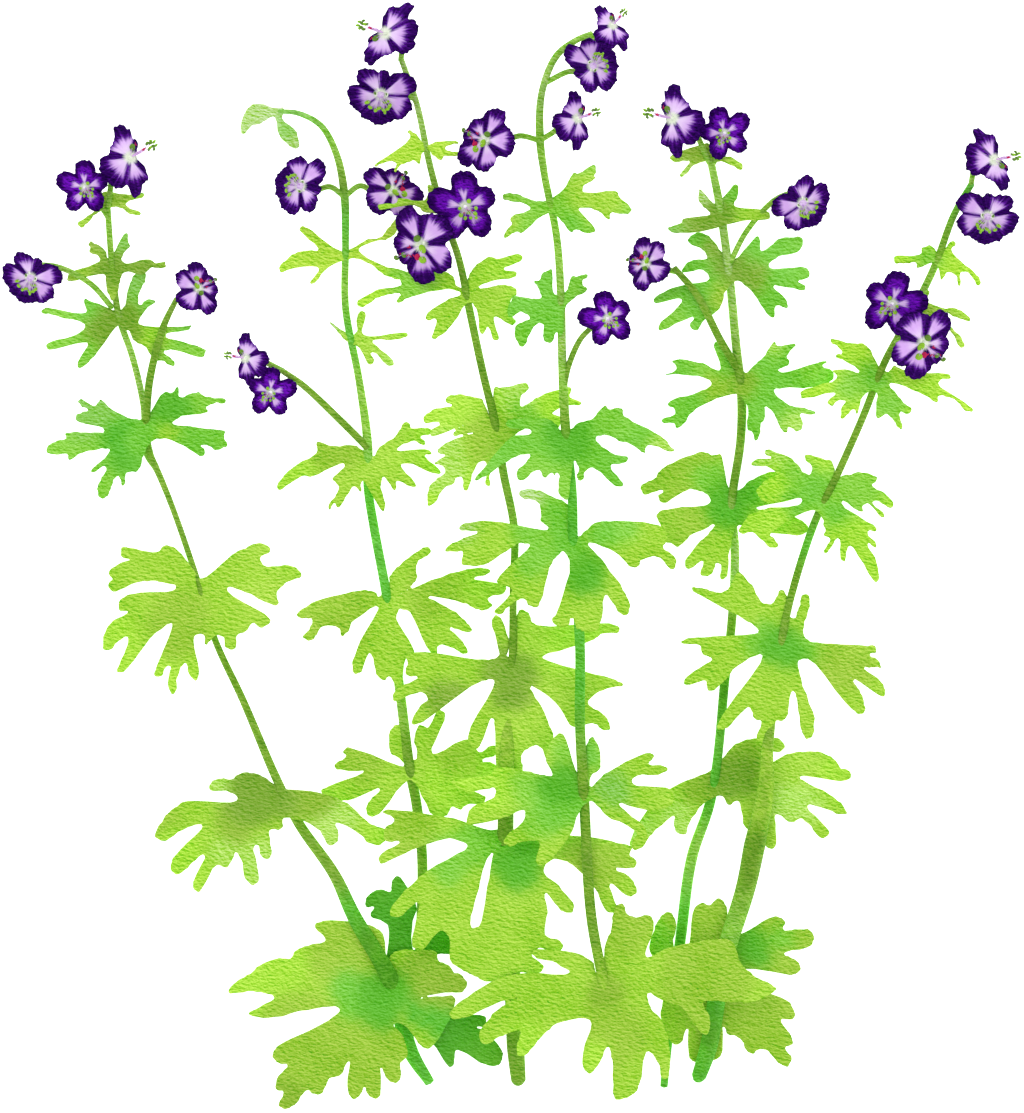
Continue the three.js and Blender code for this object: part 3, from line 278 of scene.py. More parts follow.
              (3, -138, 13, "deepGreen")],
             "edge": [-3, -123, -10, -123, -26, -118, -56, -114, -59, -115, -54, -117, -53, -119,
              -57, -122, -57, -128, -50, -128, -60, -135, -59, -138, -45, -132, -28, -127, -20,
              -130, -38, -141, -53, -156, -55, -161, -51, -162, -42, -155, -45, -175, -41, -177,
              -32, -168, -28, -172, -28, -181, -24, -185, -18, -188, -12, -191, -5, -190, 2, -187,
              13, -187, 14, -184, 9, -179, 12, -176, 19, -178, 23, -176, 22, -173, 15, -170, 16,
              -160, 15, -151, 22, -159, 27, -160, 28, -157, 21, -148, 14, -141, 19, -136, 26, -138,
              31, -142, 37, -149, 43, -160, 47, -159, 44, -147, 53, -153, 56, -151, 54, -145, 46,
              -140, 55, -140, 56, -137, 53, -134, 54, -131, 45, -128, 15, -124, -2, -123.5, -2.6,
              -129, -7.4, -132, -11, -148, -15, -166, -18, -167, -18.5, -164, -15, -149, -12, -138,
              -8.2, -132, -3.4, -128.6]},
            {"seat": (0, -48), "droop": 6.5, "arch": 1.5, "blade": "meadow",
             "washes": [(-30, -64, 10, "mossy"), (30, -40, 16, "brightLime"),
              (0, -62, 9, "darkOlive"), (-6, -50, 10, "mossy"), (3, -52, 9, "darkOlive")],
             "edge": [-2, -45, -1, -39, -5, -28, -7, -26, -9, -29, -6, -44, -8, -46, -16, -46, -44,
              -43, -48, -45, -47, -48, -48, -52, -46, -54, -41, -54, -51, -59, -54, -63, -53, -65,
              -41, -61, -38, -64, -42, -68, -45, -74, -44, -76, -13, -56, -8, -56, -20, -81, -16,
              -87, -9, -72, -8, -76, -7, -96, -5, -104, 0, -105, 3, -103, 5, -95, 4, -90, 8, -86,
              12, -85, 19, -98, 21, -96, 20, -86, 17, -76, 13, -67, 8, -59, 8, -58, 20, -66, 28,
              -77, 36, -75, 41, -78, 44, -78, 44, -75, 40, -70, 34, -66, 41, -60, 50, -58, 48, -56,
              42, -54, 14, -46, 14, -45, 36, -38, 40, -35, 48, -34, 48, -31, 12, -31, 9, -29, 7,
              -25, 3, -24, 1, -45]},
            {"seat": (-6.5, 58), "droop": 2.5, "arch": 2, "blade": "sunLime",
             "washes": [(-24, 68, 15, "brightLime"), (-34, 44, 16, "lightLime"),
              (2, 72, 10, "lightLime"), (6, 62, 8, "fern"), (-9, 53, 14, "duskLime")],
             "edge": [-10, 64, -12, 68, -14, 71, -18, 72, -25, 73, -29, 72, -30, 70, -27, 68, -36,
              66, -40, 62, -39, 60, -30, 61, -37, 56, -36, 54, -20, 60, -26, 56, -26, 54, -22, 55,
              -16, 56, -28, 52, -34, 47, -32, 46, -29, 46, -34, 43, -35, 42, -32, 41, -30, 39, -31,
              37, -37, 32, -38, 27, -38, 23, -36, 23, -30, 31, -26, 33, -25, 35, -23, 36, -22, 34,
              -22, 30, -22, 29, -20, 30, -16, 41, -13, 43, -11, 40, -12, 34, -12, 32, -10, 32, -10,
              36, -3, 50, 7, 58, 12, 56, 21, 58, 22, 61, 22, 63, 18, 64, 24, 68, 30, 68, 32, 69, 26,
              72, 27, 76, 12, 72, 6, 68, 4, 68, 4, 72, 8, 76, 6, 78, -4, 76, -8, 76, -8, 64]},
            {"seat": (-20.5, 117), "droop": 2, "arch": 2, "blade": "brightLime",
             "washes": [(-62, 118, 10, "sunLime"), (-44, 125, 13, "fern"), (-8, 113, 11, "meadow"),
              (-28, 110, 10, "lime")],
             "edge": [-25, 122, -26, 125, -29, 128, -37, 128, -45, 128, -57, 130, -57, 127, -51,
              125, -50, 122, -61, 120, -70, 114, -68, 112, -61, 116, -55, 118, -50, 118, -52, 115,
              -51, 114, -45, 117, -26, 120, -23, 118, -28, 116, -39, 108, -38, 106, -34, 107, -36,
              99, -36, 98, -34, 98, -27, 104, -21, 113, -18, 114, -16, 111, -14, 100, -12, 101, -11,
              104, -8, 97, -6, 98, -8, 108, 0, 104, 2, 106, -1, 109, 0, 116, 2, 118, 2, 120, -1,
              122, -6, 122, -17, 120, -9, 124, 2, 126, 2, 128, -4, 129, 5, 134, 4, 136, -7, 134,
              -10, 135, -15, 132, -18, 129, -20, 125, -20, 121]},
            {"seat": (-32, 157), "droop": -11, "arch": 3, "blade": "lime",
             "washes": [],
             "edge": [-60, 158, -60, 156, -57, 156, -44, 158, -42, 157, -40, 155, -31, 155, -31,
              160, -34, 163, -36, 167, -38, 167, -38, 165, -38, 162, -40, 160, -51, 161, -52, 159]},
            {"seat": (-39, 184), "droop": 0.5, "arch": 4, "blade": "yellowLime",
             "washes": [],
             "edge": [-40, 186, -43, 190, -47, 192, -46, 188, -62, 176, -62, 175, -58, 177, -52,
              177, -53, 173, -52, 173, -50, 176, -47, 177, -44, 178, -42, 176, -40, 182, -38, 183,
              -35, 180, -32, 178, -30, 180, -24, 180, -24, 182, -28, 182, -30, 184, -24, 186, -26,
              187, -36, 186, -38, 185]},
        ],
        "blooms": [
            {"kind": "side", "at": (-57, 235, 22), "radius": 16.5, "bearing": 160,
             "stalk": [(-50, 223, 14)]},
            {"kind": "cup", "at": (-59, 207.5, 22), "radius": 16, "bearing": 270,
             "stalk": [(-44, 206, 13), (-53, 210, 15)]},
            {"kind": "open", "at": (-41, 140, 22), "radius": 17, "bearing": 210,
             "stalk": [(-27, 143, 13), (-33, 146, 16)]},
            {"kind": "star", "at": (-21, 157, 23), "radius": 16, "bearing": 260, "turn": 20,
             "stalk": [(-31, 153, 13), (-24, 159, 17)]},
        ],
    },
    "stem_4": {
        "path": [(44, -216, 20, 4.4), (41, -192, 22, 4.7), (35.5, -161, 23, 4.7),
            (32.5, -112, 24, 4.7), (30.5, -75, 24, 4.6), (30.5, -40, 24, 4.5), (27.5, 6, 23, 4.4),
            (27, 28, 22.5, 4.3), (24, 58, 22, 4.4), (22.5, 90, 21, 3.8), (22, 116, 20, 3.6),
            (20, 144, 19, 3.4), (14.5, 172, 18.5, 3.3), (12.5, 189, 18.5, 3.8),
            (13.5, 209, 19, 3.2), (20, 225, 21, 3.2), (29, 232, 23, 2.8), (36, 235, 24, 2.4)],
        "side": [
            [(23, 75, 21.5, 3), (25.5, 86, 21.5, 2.8), (31, 98, 21.5, 2.6), (37, 104, 22, 2.4)],
        ],
        "leaves": [
            {"seat": (41, -192), "droop": 5.4, "arch": 2, "blade": "meadow",
             "washes": [(88, -190, 24, "duskLime"), (45, -216, 16, "duskLime"),
              (52, -165, 14, "duskLime"), (35, -226, 9, "brightLime"), (5, -220, 12, "brightLime"),
              (42, -196, 9, "oliveDusk")],
             "edge": [38, -187, 36, -182, 28, -178, 9, -177, 10, -180, 18, -182, 26, -187, -2, -188,
              -20, -198, -28, -205, -26, -208, -5, -200, 4, -198, -3, -201, -10, -207, -15, -216,
              -12, -219, -4, -215, 4, -213, 2, -220, 3, -224, 6, -224, 13, -216, 20, -210, 35, -208,
              32, -222, 32, -230, 35, -232, 39, -228, 43, -220, 45, -226, 46, -243, 49, -244, 56,
              -240, 58, -234, 60, -223, 61, -222, 66, -228, 67, -234, 70, -234, 71, -226, 70, -216,
              67, -208, 62, -202, 61, -196, 69, -200, 76, -202, 85, -214, 88, -214, 89, -208, 86,
              -200, 98, -200, 108, -200, 117, -196, 119, -194, 116, -192, 110, -189, 103, -183, 99,
              -173, 91, -172, 70, -176, 60, -180, 64, -165, 61, -161, 56, -162, 52, -161, 50, -156,
              47, -157, 45, -162, 45, -166, 42, -174, 40, -186]},
            {"seat": (32, -107), "droop": 5, "arch": 1.5, "blade": "meadow",
             "washes": [(-12, -102, 14, "brightLime"), (8, -104, 9, "fern"),
              (45, -104, 9, "softGreen"), (34, -88, 8, "grass"), (23, -87, 6, "fern"),
              (12, -118, 10, "fern"), (23, -112, 13, "grass"), (22, -102, 11, "deepGreen")],
             "edge": [13, -98, 5, -96, -7, -95, -10, -98, -27, -101, -26, -103, -19, -106, -8, -104,
              -8, -108, -17, -112, -20, -116, -20, -120, -3, -117, 5, -114, 6, -117, -4, -128, -1,
              -130, 5, -128, 12, -128, 11, -138, 15, -138, 26, -125, 31, -113, 36, -110, 42, -116,
              56, -124, 54, -128, 55, -132, 59, -130, 61, -125, 59, -121, 48, -111, 62, -114, 72,
              -111, 72, -105, 54, -102, 55, -99, 66, -98, 70, -96, 68, -94, 61, -93, 64, -90, 62,
              -88, 48, -94, 40, -99, 35, -104, 36, -98, 39, -96, 40, -92, 38, -83, 36, -81, 33, -86,
              33, -96, 30, -98, 23, -80, 20, -80, 15, -90, 18, -98]},
            {"seat": (27.5, 7), "droop": 4, "arch": 2, "blade": "meadow",
             "washes": [(8, 28, 8, "paleLeaf"), (-22, 14, 6, "paleLeaf"), (22, 17, 11, "grass"),
              (42, 11, 9, "grass"), (52, 13, 6, "springGreen"), (8, 12, 9, "springGreen"),
              (10, 0, 10, "springGreen"), (25, 4, 10, "grass"), (33, -8, 11, "deepGreen")],
             "edge": [29, 10, 28, 21, 18, 27, 11, 30, 5, 30, 3, 28, 5, 26, 11, 25, 13, 20, 13, 16,
              17, 12, -10, 16, -23, 14, -24, 12, -15, 11, -27, 6, -30, 3, -29, 2, -22, 2, -23, -3,
              -20, -4, -13, -4, 0, 4, 4, 6, 8, 5, -7, -11, 0, -15, -8, -25, -5, -26, -1, -22, 5,
              -19, 8, -22, 11, -23, 13, -20, 17, -5, 20, 0, 23, 2, 25, 0, 26, -4, 20, -25, 18, -29,
              22, -32, 25, -31, 27, -27, 29, -32, 33, -34, 38, -33, 40, -29, 42, -17, 49, -26, 52,
              -26, 53, -22, 50, -15, 40, -1, 34, 6, 46, 2, 54, -5, 57, -4, 58, -2, 65, 0, 72, -6,
              74, -3, 72, 1, 68, 4, 70, 9, 66, 14, 46, 16, 37, 15, 30, 9]},
            {"seat": (24, 55), "droop": 3, "arch": 2, "blade": "grass",
             "washes": [(70, 50, 9, "lightLime"), (46, 64, 13, "springGreen"), (10, 39, 8, "fern"),
              (25, 30, 13, "fern"), (14, 64, 11, "springGreen"), (25, 54, 12, "deepGreen")],
             "edge": [23, 56, 18, 61, 4, 62, -2, 61, -2, 58, 8, 57, 8, 55, 0, 54, -2, 52, -17, 34,
              -16, 34, -12, 36, 0, 44, 8, 46, 6, 42, 2, 38, 2, 36, 4, 34, 12, 39, 14, 36, 15, 35,
              18, 38, 19, 36, 20, 38, 21, 36, 21, 28, 23, 26, 25, 26, 28, 43, 30, 40, 29, 36, 30,
              34, 32, 35, 33, 38, 36, 40, 46, 32, 48, 31, 50, 32, 45, 39, 44, 41, 51, 42, 52, 44,
              51, 45, 46, 46, 38, 52, 38, 54, 44, 54, 48, 52, 54, 50, 60, 46, 60, 47, 60, 49, 62,
              50, 72, 47, 73, 48, 72, 49, 67, 54, 52, 62, 50, 64, 50, 66, 48, 67, 44, 66, 42, 68,
              36, 62, 30, 60]},
            {"seat": (21.5, 114), "droop": 2, "arch": 2, "blade": "grass",
             "washes": [(0, 113, 9, "grass"), (28, 120, 9, "springGreen")],
             "edge": [19, 118, 18, 129, 15, 128, 14, 128, 12, 124, 10, 124, 12, 120, 13, 116, 9,
              116, 0, 117, 0, 116, -2, 111, -1, 107, 2, 109, 4, 110, 8, 107, 2, 104, 1, 101, 4, 94,
              6, 95, 7, 98, 12, 105, 14, 104, 14, 98, 16, 96, 18, 96, 20, 101, 22, 99, 23, 100, 24,
              112, 28, 116, 34, 120, 32, 122, 32, 124, 34, 126, 34, 127, 29, 126, 27, 126, 24,
              119]},
            {"seat": (17.5, 158), "droop": 2, "arch": 2, "blade": "fern",
             "washes": [(38, 162, 14, "lime"), (27, 150, 5, "grass"), (-5, 150, 8, "lime")],
             "edge": [15, 160, 10, 160, 2, 163, -4, 163, -4, 161, -2, 160, 7, 158, 8, 156, 0, 153,
              -1, 151, 0, 150, -4, 144, -3, 143, 2, 146, 4, 145, 12, 152, 16, 154, 18, 154, 22, 151,
              27, 145, 28, 147, 34, 145, 37, 146, 37, 148, 30, 156, 37, 156, 44, 151, 44, 154, 52,
              154, 54, 156, 48, 162, 48, 164, 32, 164, 32, 166, 36, 169, 38, 170, 37, 171, 38, 173,
              37, 176, 36, 176, 29, 172, 28, 173, 23, 165]},
        ],
        "blooms": [
            {"kind": "open", "at": (-12.2, 187, 25), "radius": 14.6, "bearing": 157,
             "stalk": [(12.5, 187, 18.5), (3, 189, 20)]},
            {"kind": "side", "at": (29.3, 196.6, 26), "radius": 13.4, "bearing": 20,
             "stalk": [(12.5, 187, 18.5), (19, 191, 21)]},
            {"kind": "cup", "at": (36.4, 220.3, 22.5), "radius": 14, "bearing": 39,
             "stalk": [(15, 213, 18.5), (26, 218, 20)]},
            {"kind": "side", "at": (45, 238.1, 32), "radius": 11.8, "bearing": 50,
             "stalk": [(35, 234.5, 24)]},
            {"kind": "star", "at": (43, 106.7, 28), "radius": 12.5, "bearing": 260, "turn": 30,
             "stalk": [(35, 102, 22), (40, 107, 23)]},
        ],
    },
    "stem_5": {
        "path": [(68.5, -239, 1.3, 3.4), (71.5, -207, 1.3, 4.4), (76, -172, 1.3, 4.9),
            (81, -136, 1.3, 5), (89, -112, 1.3, 4.6), (92.5, -92, 1.3, 4.2), (96, -55, 1.3, 4.2),
            (99, -30, 1.3, 4), (100.5, 2, 1.3, 4), (99, 23, 1.3, 4), (103, 52, 1.3, 4),
            (103.5, 72, 1.3, 4.2), (101, 95, 2.8, 4), (98, 126, 4.5, 3.8), (93.5, 158, 7, 3.8),
            (89.5, 178, 9, 3.4)],
        "side": [
            [(101.5, 85, 2.4, 3.6), (94, 97, 8, 3.6), (83, 118, 11.8, 3.4), (73, 130, 8.5, 2.8)],
        ],
        "leaves": [
            {"seat": (91, -102), "droop": 1, "arch": 3, "blade": "meadow",
             "washes": [(145, -96, 9, "brightLime"), (124, -94, 15, "lime"),
              (128, -113, 12, "lightLime"), (75, -118, 8, "lightLime"), (57, -124, 8, "lightLime"),
              (86, -102, 11, "oliveDusk"), (104, -92, 10, "oliveDusk"),
              (100, -100, 12, "darkOlive")],
             "edge": [90, -96, 76, -102, 64, -110, 53, -129, 55, -132, 59, -130, 63, -125, 73, -117,
              73, -122, 75, -125, 78, -125, 80, -120, 88, -110, 95, -108, 96, -110, 98, -112, 102,
              -110, 105, -122, 108, -123, 110, -118, 113, -124, 114, -130, 117, -132, 119, -129,
              119, -116, 126, -120, 130, -118, 134, -121, 138, -126, 141, -127, 143, -124, 133,
              -113, 134, -112, 142, -114, 147, -116, 151, -116, 149, -112, 143, -107, 130, -100,
              131, -99, 151, -101, 153, -98, 151, -96, 148, -95, 145, -91, 138, -88, 131, -88, 124,
              -89, 116, -93, 113, -90, 116, -88, 121, -88, 123, -85, 120, -82, 110, -82, 104, -83,
              99, -86]},
            {"seat": (99, 23), "droop": 0.5, "arch": 2.5, "blade": "meadow",
             "washes": [(75, 38, 18, "duskLime"), (75, 18, 16, "duskLime"), (118, 34, 9, "sunLime"),
              (122, 18, 10, "brightLime"), (90, 35, 9, "springGreen"), (109, 31, 8, "grass"),
              (98, 24, 13, "deepGreen")],
             "edge": [98, 31, 94, 46, 92, 46, 90, 46, 87, 47, 84, 47, 70, 41, 66, 38, 64, 35, 58,
              32, 58, 30, 60, 28, 68, 30, 69, 29, 66, 28, 66, 26, 68, 24, 79, 30, 82, 30, 88, 28,
              89, 24, 74, 22, 66, 20, 65, 18, 68, 12, 68, 7, 72, 6, 74, 4, 76, 5, 80, 9, 90, 14, 92,
              15, 90, 12, 85, 7, 78, -2, 78, -4, 79, -6, 86, -2, 85, -8, 87, -9, 90, -8, 92, -3, 94,
              -4, 94, -10, 96, -10, 97, -9, 98, 3, 102, 14, 114, 11, 131, 10, 134, 12, 133, 14, 126,
              19, 120, 22, 114, 21, 110, 22, 130, 27, 130, 30, 127, 34, 122, 38, 116, 38, 107, 34,
              102, 30]},
            {"seat": (103.5, 79), "droop": 0.5, "arch": 2.5, "blade": "grass",
             "washes": [(128, 60, 7, "lightLime"), (137, 85, 7, "fern"), (118, 97, 6, "lightLime"),
              (86, 88, 8, "fern"), (92, 76, 7, "duskLime"), (104, 78, 7, "oliveDusk")],
             "edge": [103, 86, 100, 86, 97, 90, 95, 95, 92, 97, 91, 95, 94, 84, 86, 87, 74, 89, 72,
              88, 74, 86, 74, 84, 68, 82, 76, 82, 88, 80, 90, 78, 84, 74, 71, 70, 70, 68, 73, 67,
              73, 64, 68, 62, 68, 60, 73, 60, 74, 58, 78, 60, 80, 64, 90, 70, 101, 73, 106, 68, 106,
              57, 108, 56, 110, 52, 112, 56, 112, 60, 114, 62, 114, 68, 118, 64, 120, 60, 122, 56,
              124, 56, 124, 58, 126, 58, 128, 56, 130, 57, 131, 60, 130, 64, 136, 64, 137, 65, 135,
              66, 126, 68, 122, 70, 118, 75, 127, 76, 134, 76, 144, 79, 145, 82, 144, 84, 140, 86,
              142, 88, 140, 88, 122, 83, 120, 84, 124, 86, 125, 88, 124, 90, 128, 96, 126, 96, 119,
              95, 119, 98, 114, 91, 109, 86, 105, 83]},
            {"seat": (97.5, 128), "droop": 2, "arch": 2, "blade": "grass",
             "washes": [(74, 117, 11, "grass"), (72, 106, 8, "fern"), (95, 117, 7, "duskLime"),
              (92, 140, 7, "mossy"), (109, 126, 7, "mossy"), (99, 130, 9, "darkOlive")],
             "edge": [96, 136, 90, 143, 88, 145, 84, 146, 80, 144, 79, 142, 86, 138, 88, 134, 84,
              134, 80, 133, 76, 128, 86, 129, 89, 125, 72, 121, 64, 116, 64, 114, 76, 116, 76, 114,
              66, 104, 66, 102, 68, 102, 82, 108, 80, 104, 82, 102, 84, 102, 86, 106, 92, 110, 95,
              115, 96, 119, 99, 123, 102, 124, 109, 118, 116, 108, 118, 108, 119, 113, 123, 112,
              124, 112, 124, 115, 118, 121, 118, 122, 132, 120, 132, 122, 129, 124, 134, 126, 134,
              128, 133, 130, 116, 130, 116, 132, 120, 135, 130, 138, 131, 143, 130, 144, 126, 144,
              120, 143, 114, 138, 112, 138, 112, 142, 111, 144, 110, 144, 100, 134]},
            {"seat": (94, 156), "droop": 2, "arch": 1.5, "blade": "mossy",
             "washes": [(108, 155, 10, "meadow"), (99, 163, 6, "grass"), (86, 163, 6, "paleLeaf"),
              (72, 147, 5, "softGreen"), (92, 152, 9, "darkOlive")],
             "edge": [84, 164, 84, 160, 88, 156, 89, 154, 77, 152, 76, 150, 72, 149, 70, 148, 72,
              146, 84, 146, 104, 151, 116, 152, 116, 154, 114, 156, 100, 158, 102, 163, 102, 166,
              101, 168, 92, 159, 90, 160, 84, 166]},
            {"seat": (89.5, 178), "droop": 2, "arch": 1, "blade": "duskLime",
             "washes": [(77, 172, 6, "lightLime"), (100, 176, 6, "lime")],
             "edge": [71, 180, 72, 178, 78, 178, 80, 178, 75, 171, 77, 171, 82, 176, 88, 178, 91,
              177, 94, 178, 103, 174, 104, 176, 98, 180, 94, 180, 91, 182, 89, 186, 87, 186]},
        ],
        "blooms": [
            {"kind": "side", "at": (72.2, 196.9, 19), "radius": 16.5, "bearing": 166,
             "mirrored": True,
             "stalk": [(89, 177, 9)]},
            {"kind": "star", "at": (95.5, 190.3, 15), "radius": 12.1, "bearing": 280, "turn": 181,
             "mirrored": True,
             "stalk": [(89.5, 175, 9), (94, 184, 9.5)]},
            {"kind": "cup", "at": (130.9, 159.1, 14), "radius": 14, "bearing": 302,
             "mirrored": True,
             "stalk": [(98, 132, 5), (106, 147, 6.5), (119, 161, 9)]},
            {"kind": "open", "at": (60.4, 131.7, 14), "radius": 11.8, "bearing": 164,
             "mirrored": True,
             "stalk": [(75, 128, 8.2)]},
        ],
    },
    "stem_6": {
        "path": [(83.2, -236.3, 8.8, 3.6), (84, -234, 9.1, 6.6), (88.5, -220, 11, 8),
            (95, -182, 13.5, 8.2), (105, -149, 12.7, 9), (109, -130, 11.9, 9.8),
            (114, -105, 11.6, 7.4), (115, -85, 12, 5.2), (121, -40, 12, 3.8), (125, -20, 11.5, 3.5),
            (136, 15, 10.5, 3.6), (146, 36, 9.5, 3.4), (158, 63, 8.5, 3.4), (168, 88, 7.5, 3.4),
            (179, 108, 7.5, 3.4), (190, 130, 8, 3.4), (199, 154, 9, 3.2), (207, 168, 10, 3)],
        "side": [],
        "leaves": [
            {"seat": (96, -180), "droop": 5, "arch": 0, "allUnder": True, "blade": "duskLime",
             "washes": [(72, -212, 8, "duskLime"), (90, -162, 12, "duskLime"),
              (66, -172, 9, "fern"), (121, -172, 6, "springGreen"), (108, -176, 10, "deepGreen")],
             "edge": [97, -166, 97, -159, 95, -155, 92, -154, 89, -157, 86, -156, 82, -158, 79,
              -176, 73, -176, 74, -166, 73, -162, 70, -160, 67, -162, 64, -168, 62, -178, 72, -188,
              68, -200, 67, -207, 73, -220, 76, -219, 79, -212, 80, -226, 83, -228, 94, -225, 95,
              -211, 97, -215, 101, -216, 104, -219, 106, -223, 109, -224, 111, -222, 114, -222, 120,
              -228, 124, -230, 126, -226, 123, -221, 126, -220, 126, -216, 121, -209, 127, -208,
              127, -204, 124, -200, 108, -193, 103, -186, 110, -186, 128, -188, 130, -185, 127,
              -181, 122, -179, 135, -175, 136, -172, 134, -168, 127, -168, 122, -168, 123, -165,
              120, -162, 115, -163, 102, -170]},
            {"seat": (121.5, -38), "droop": 4, "arch": 2, "blade": "meadow",
             "washes": [(148, -48, 16, "duskLime"), (112, -38, 9, "springGreen"),
              (132, -42, 7, "springGreen"), (122, -41, 11, "deepGreen")],
             "edge": [131, -34, 133, -26, 134, -18, 131, -17, 129, -23, 127, -28, 124, -25, 124,
              -19, 123, -16, 121, -15, 117, -21, 113, -21, 108, -13, 102, -7, 100, -9, 97, -15, 92,
              -16, 85, -14, 81, -14, 82, -16, 106, -29, 111, -34, 86, -36, 76, -38, 76, -39, 84,
              -40, 86, -44, 90, -46, 80, -53, 77, -57, 79, -58, 87, -56, 88, -60, 91, -60, 102, -49,
              113, -44, 92, -76, 93, -78, 97, -77, 106, -68, 108, -70, 109, -73, 112, -74, 110, -82,
              112, -85, 116, -84, 116, -78, 119, -74, 122, -74, 124, -71, 126, -60, 128, -64, 130,
              -77, 132, -82, 135, -81, 136, -73, 130, -55, 129, -47, 133, -46, 153, -69, 157, -71,
              159, -69, 158, -64, 155, -58, 152, -54, 167, -63, 168, -60, 166, -56, 158, -50, 163,
              -50, 166, -50, 165, -47, 161, -44, 164, -43, 163, -40, 159, -40, 141, -39, 134, -38]},
            {"seat": (139, 26), "droop": 1, "arch": 2, "blade": "brightLime",
             "washes": [(155, 30, 13, "fern"), (115, 43, 11, "lightLime"), (120, 35, 6, "sunLime"),
              (128, 38, 7, "fern"), (145, 20, 7, "grass"), (128, 24, 7, "grass"),
              (136, 30, 9, "grass")],
             "edge": [131, 38, 129, 41, 126, 44, 116, 48, 114, 48, 114, 46, 118, 44, 110, 44, 108,
              42, 108, 41, 116, 40, 119, 37, 114, 34, 110, 30, 111, 27, 115, 24, 126, 26, 131, 26,
              128, 23, 116, 22, 110, 20, 106, 18, 104, 15, 102, 12, 104, 10, 108, 11, 116, 4, 118,
              4, 120, 5, 118, 8, 116, 10, 135, 21, 137, 20, 140, 17, 140, 14, 141, 12, 140, 10, 143,
              8, 140, 2, 142, 2, 146, 8, 147, 9, 148, -1, 150, -3, 150, -2, 151, 4, 152, 5, 162,
              -10, 164, -12, 165, -10, 164, -2, 160, 5, 160, 6, 164, 4, 164, 6, 160, 10, 160, 12,
              163, 11, 164, 12, 164, 13, 150, 22, 147, 26, 158, 20, 158, 23, 160, 24, 166, 18, 168,
              18, 167, 20, 162, 24, 164, 25, 170, 22, 172, 23, 172, 24, 167, 29, 162, 32, 164, 34,
              164, 36, 156, 38, 152, 37, 148, 36, 146, 34, 144, 43, 140, 44, 132, 46, 132, 44, 135,
              40, 134, 37]},
            {"seat": (165, 80), "droop": 3, "arch": 2, "blade": "sunLime",
             "washes": [(182, 76, 12, "brightLime"), (152, 77, 8, "fern"),
              (170, 68, 9, "springGreen"), (163, 80, 8, "grass")],
             "edge": [165, 86, 162, 92, 158, 96, 152, 96, 146, 98, 144, 98, 144, 96, 146, 95, 149,
              91, 146, 91, 145, 90, 150, 88, 158, 82, 152, 84, 144, 84, 143, 84, 146, 82, 146, 80,
              130, 74, 130, 72, 130, 71, 146, 74, 142, 70, 142, 69, 144, 68, 147, 70, 150, 70, 148,
              66, 148, 62, 149, 62, 152, 65, 154, 66, 155, 64, 158, 72, 160, 74, 164, 74, 164, 62,
              168, 64, 170, 63, 174, 58, 175, 57, 176, 58, 174, 65, 178, 64, 180, 66, 178, 68, 174,
              72, 170, 78, 183, 74, 192, 69, 192, 70, 192, 72, 196, 72, 200, 70, 204, 66, 207, 65,
              208, 66, 206, 68, 192, 78, 194, 80, 198, 80, 198, 81, 197, 82, 182, 83, 176, 84, 172,
              86, 169, 83]},
            {"seat": (182, 112), "droop": 2, "arch": 1, "blade": "lime",
             "washes": [],
             "edge": [187, 116, 188, 120, 186, 120, 184, 117, 180, 114, 178, 111, 180, 108, 184,
              108, 189, 107, 193, 105, 197, 102, 200, 97, 202, 94, 204, 95, 202, 99, 199, 102, 196,
              106, 192, 108, 196, 110, 199, 108, 202, 107, 206, 106, 206, 108, 205, 109, 202, 111,
              198, 112, 194, 112, 191, 113, 188, 114]},
            {"seat": (191.5, 133), "droop": 3, "arch": 2, "blade": "sunLime",
             "washes": [(187, 134, 7, "fern")],
             "edge": [192, 136, 191, 138, 188, 140, 184, 139, 179, 140, 179, 139, 184, 138, 184,
              136, 172, 135, 172, 134, 172, 132, 175, 132, 178, 132, 182, 132, 182, 130, 190, 132,
              192, 130, 193, 124, 196, 128, 200, 126, 201, 122, 202, 122, 202, 128, 205, 128, 210,
              122, 211, 123, 211, 125, 208, 128, 199, 136, 198, 138, 200, 141, 198, 142]},
        ],
        "blooms": [
            {"kind": "side", "at": (216.7, 178.3, 18), "radius": 15.1, "bearing": 10,
             "mirrored": True,
             "stalk": [(206.5, 167, 10)]},
            {"kind": "cup", "at": (214, 153, 14), "radius": 14.9, "bearing": 259, "mirrored": True,
             "stalk": [(204, 163, 9.5), (211, 161, 9.5)]},
            {"kind": "star", "at": (171, 113.5, 15), "radius": 14.9, "bearing": 240, "turn": 150,
             "mirrored": True,
             "stalk": [(179, 108, 7.5), (174, 113, 9)]},
            {"kind": "open", "at": (184.9, 95.9, 19), "radius": 16.1, "bearing": 319,
             "mirrored": True,
             "stalk": [(172, 96, 7.5), (177, 99, 11)]},
        ],
    },
}

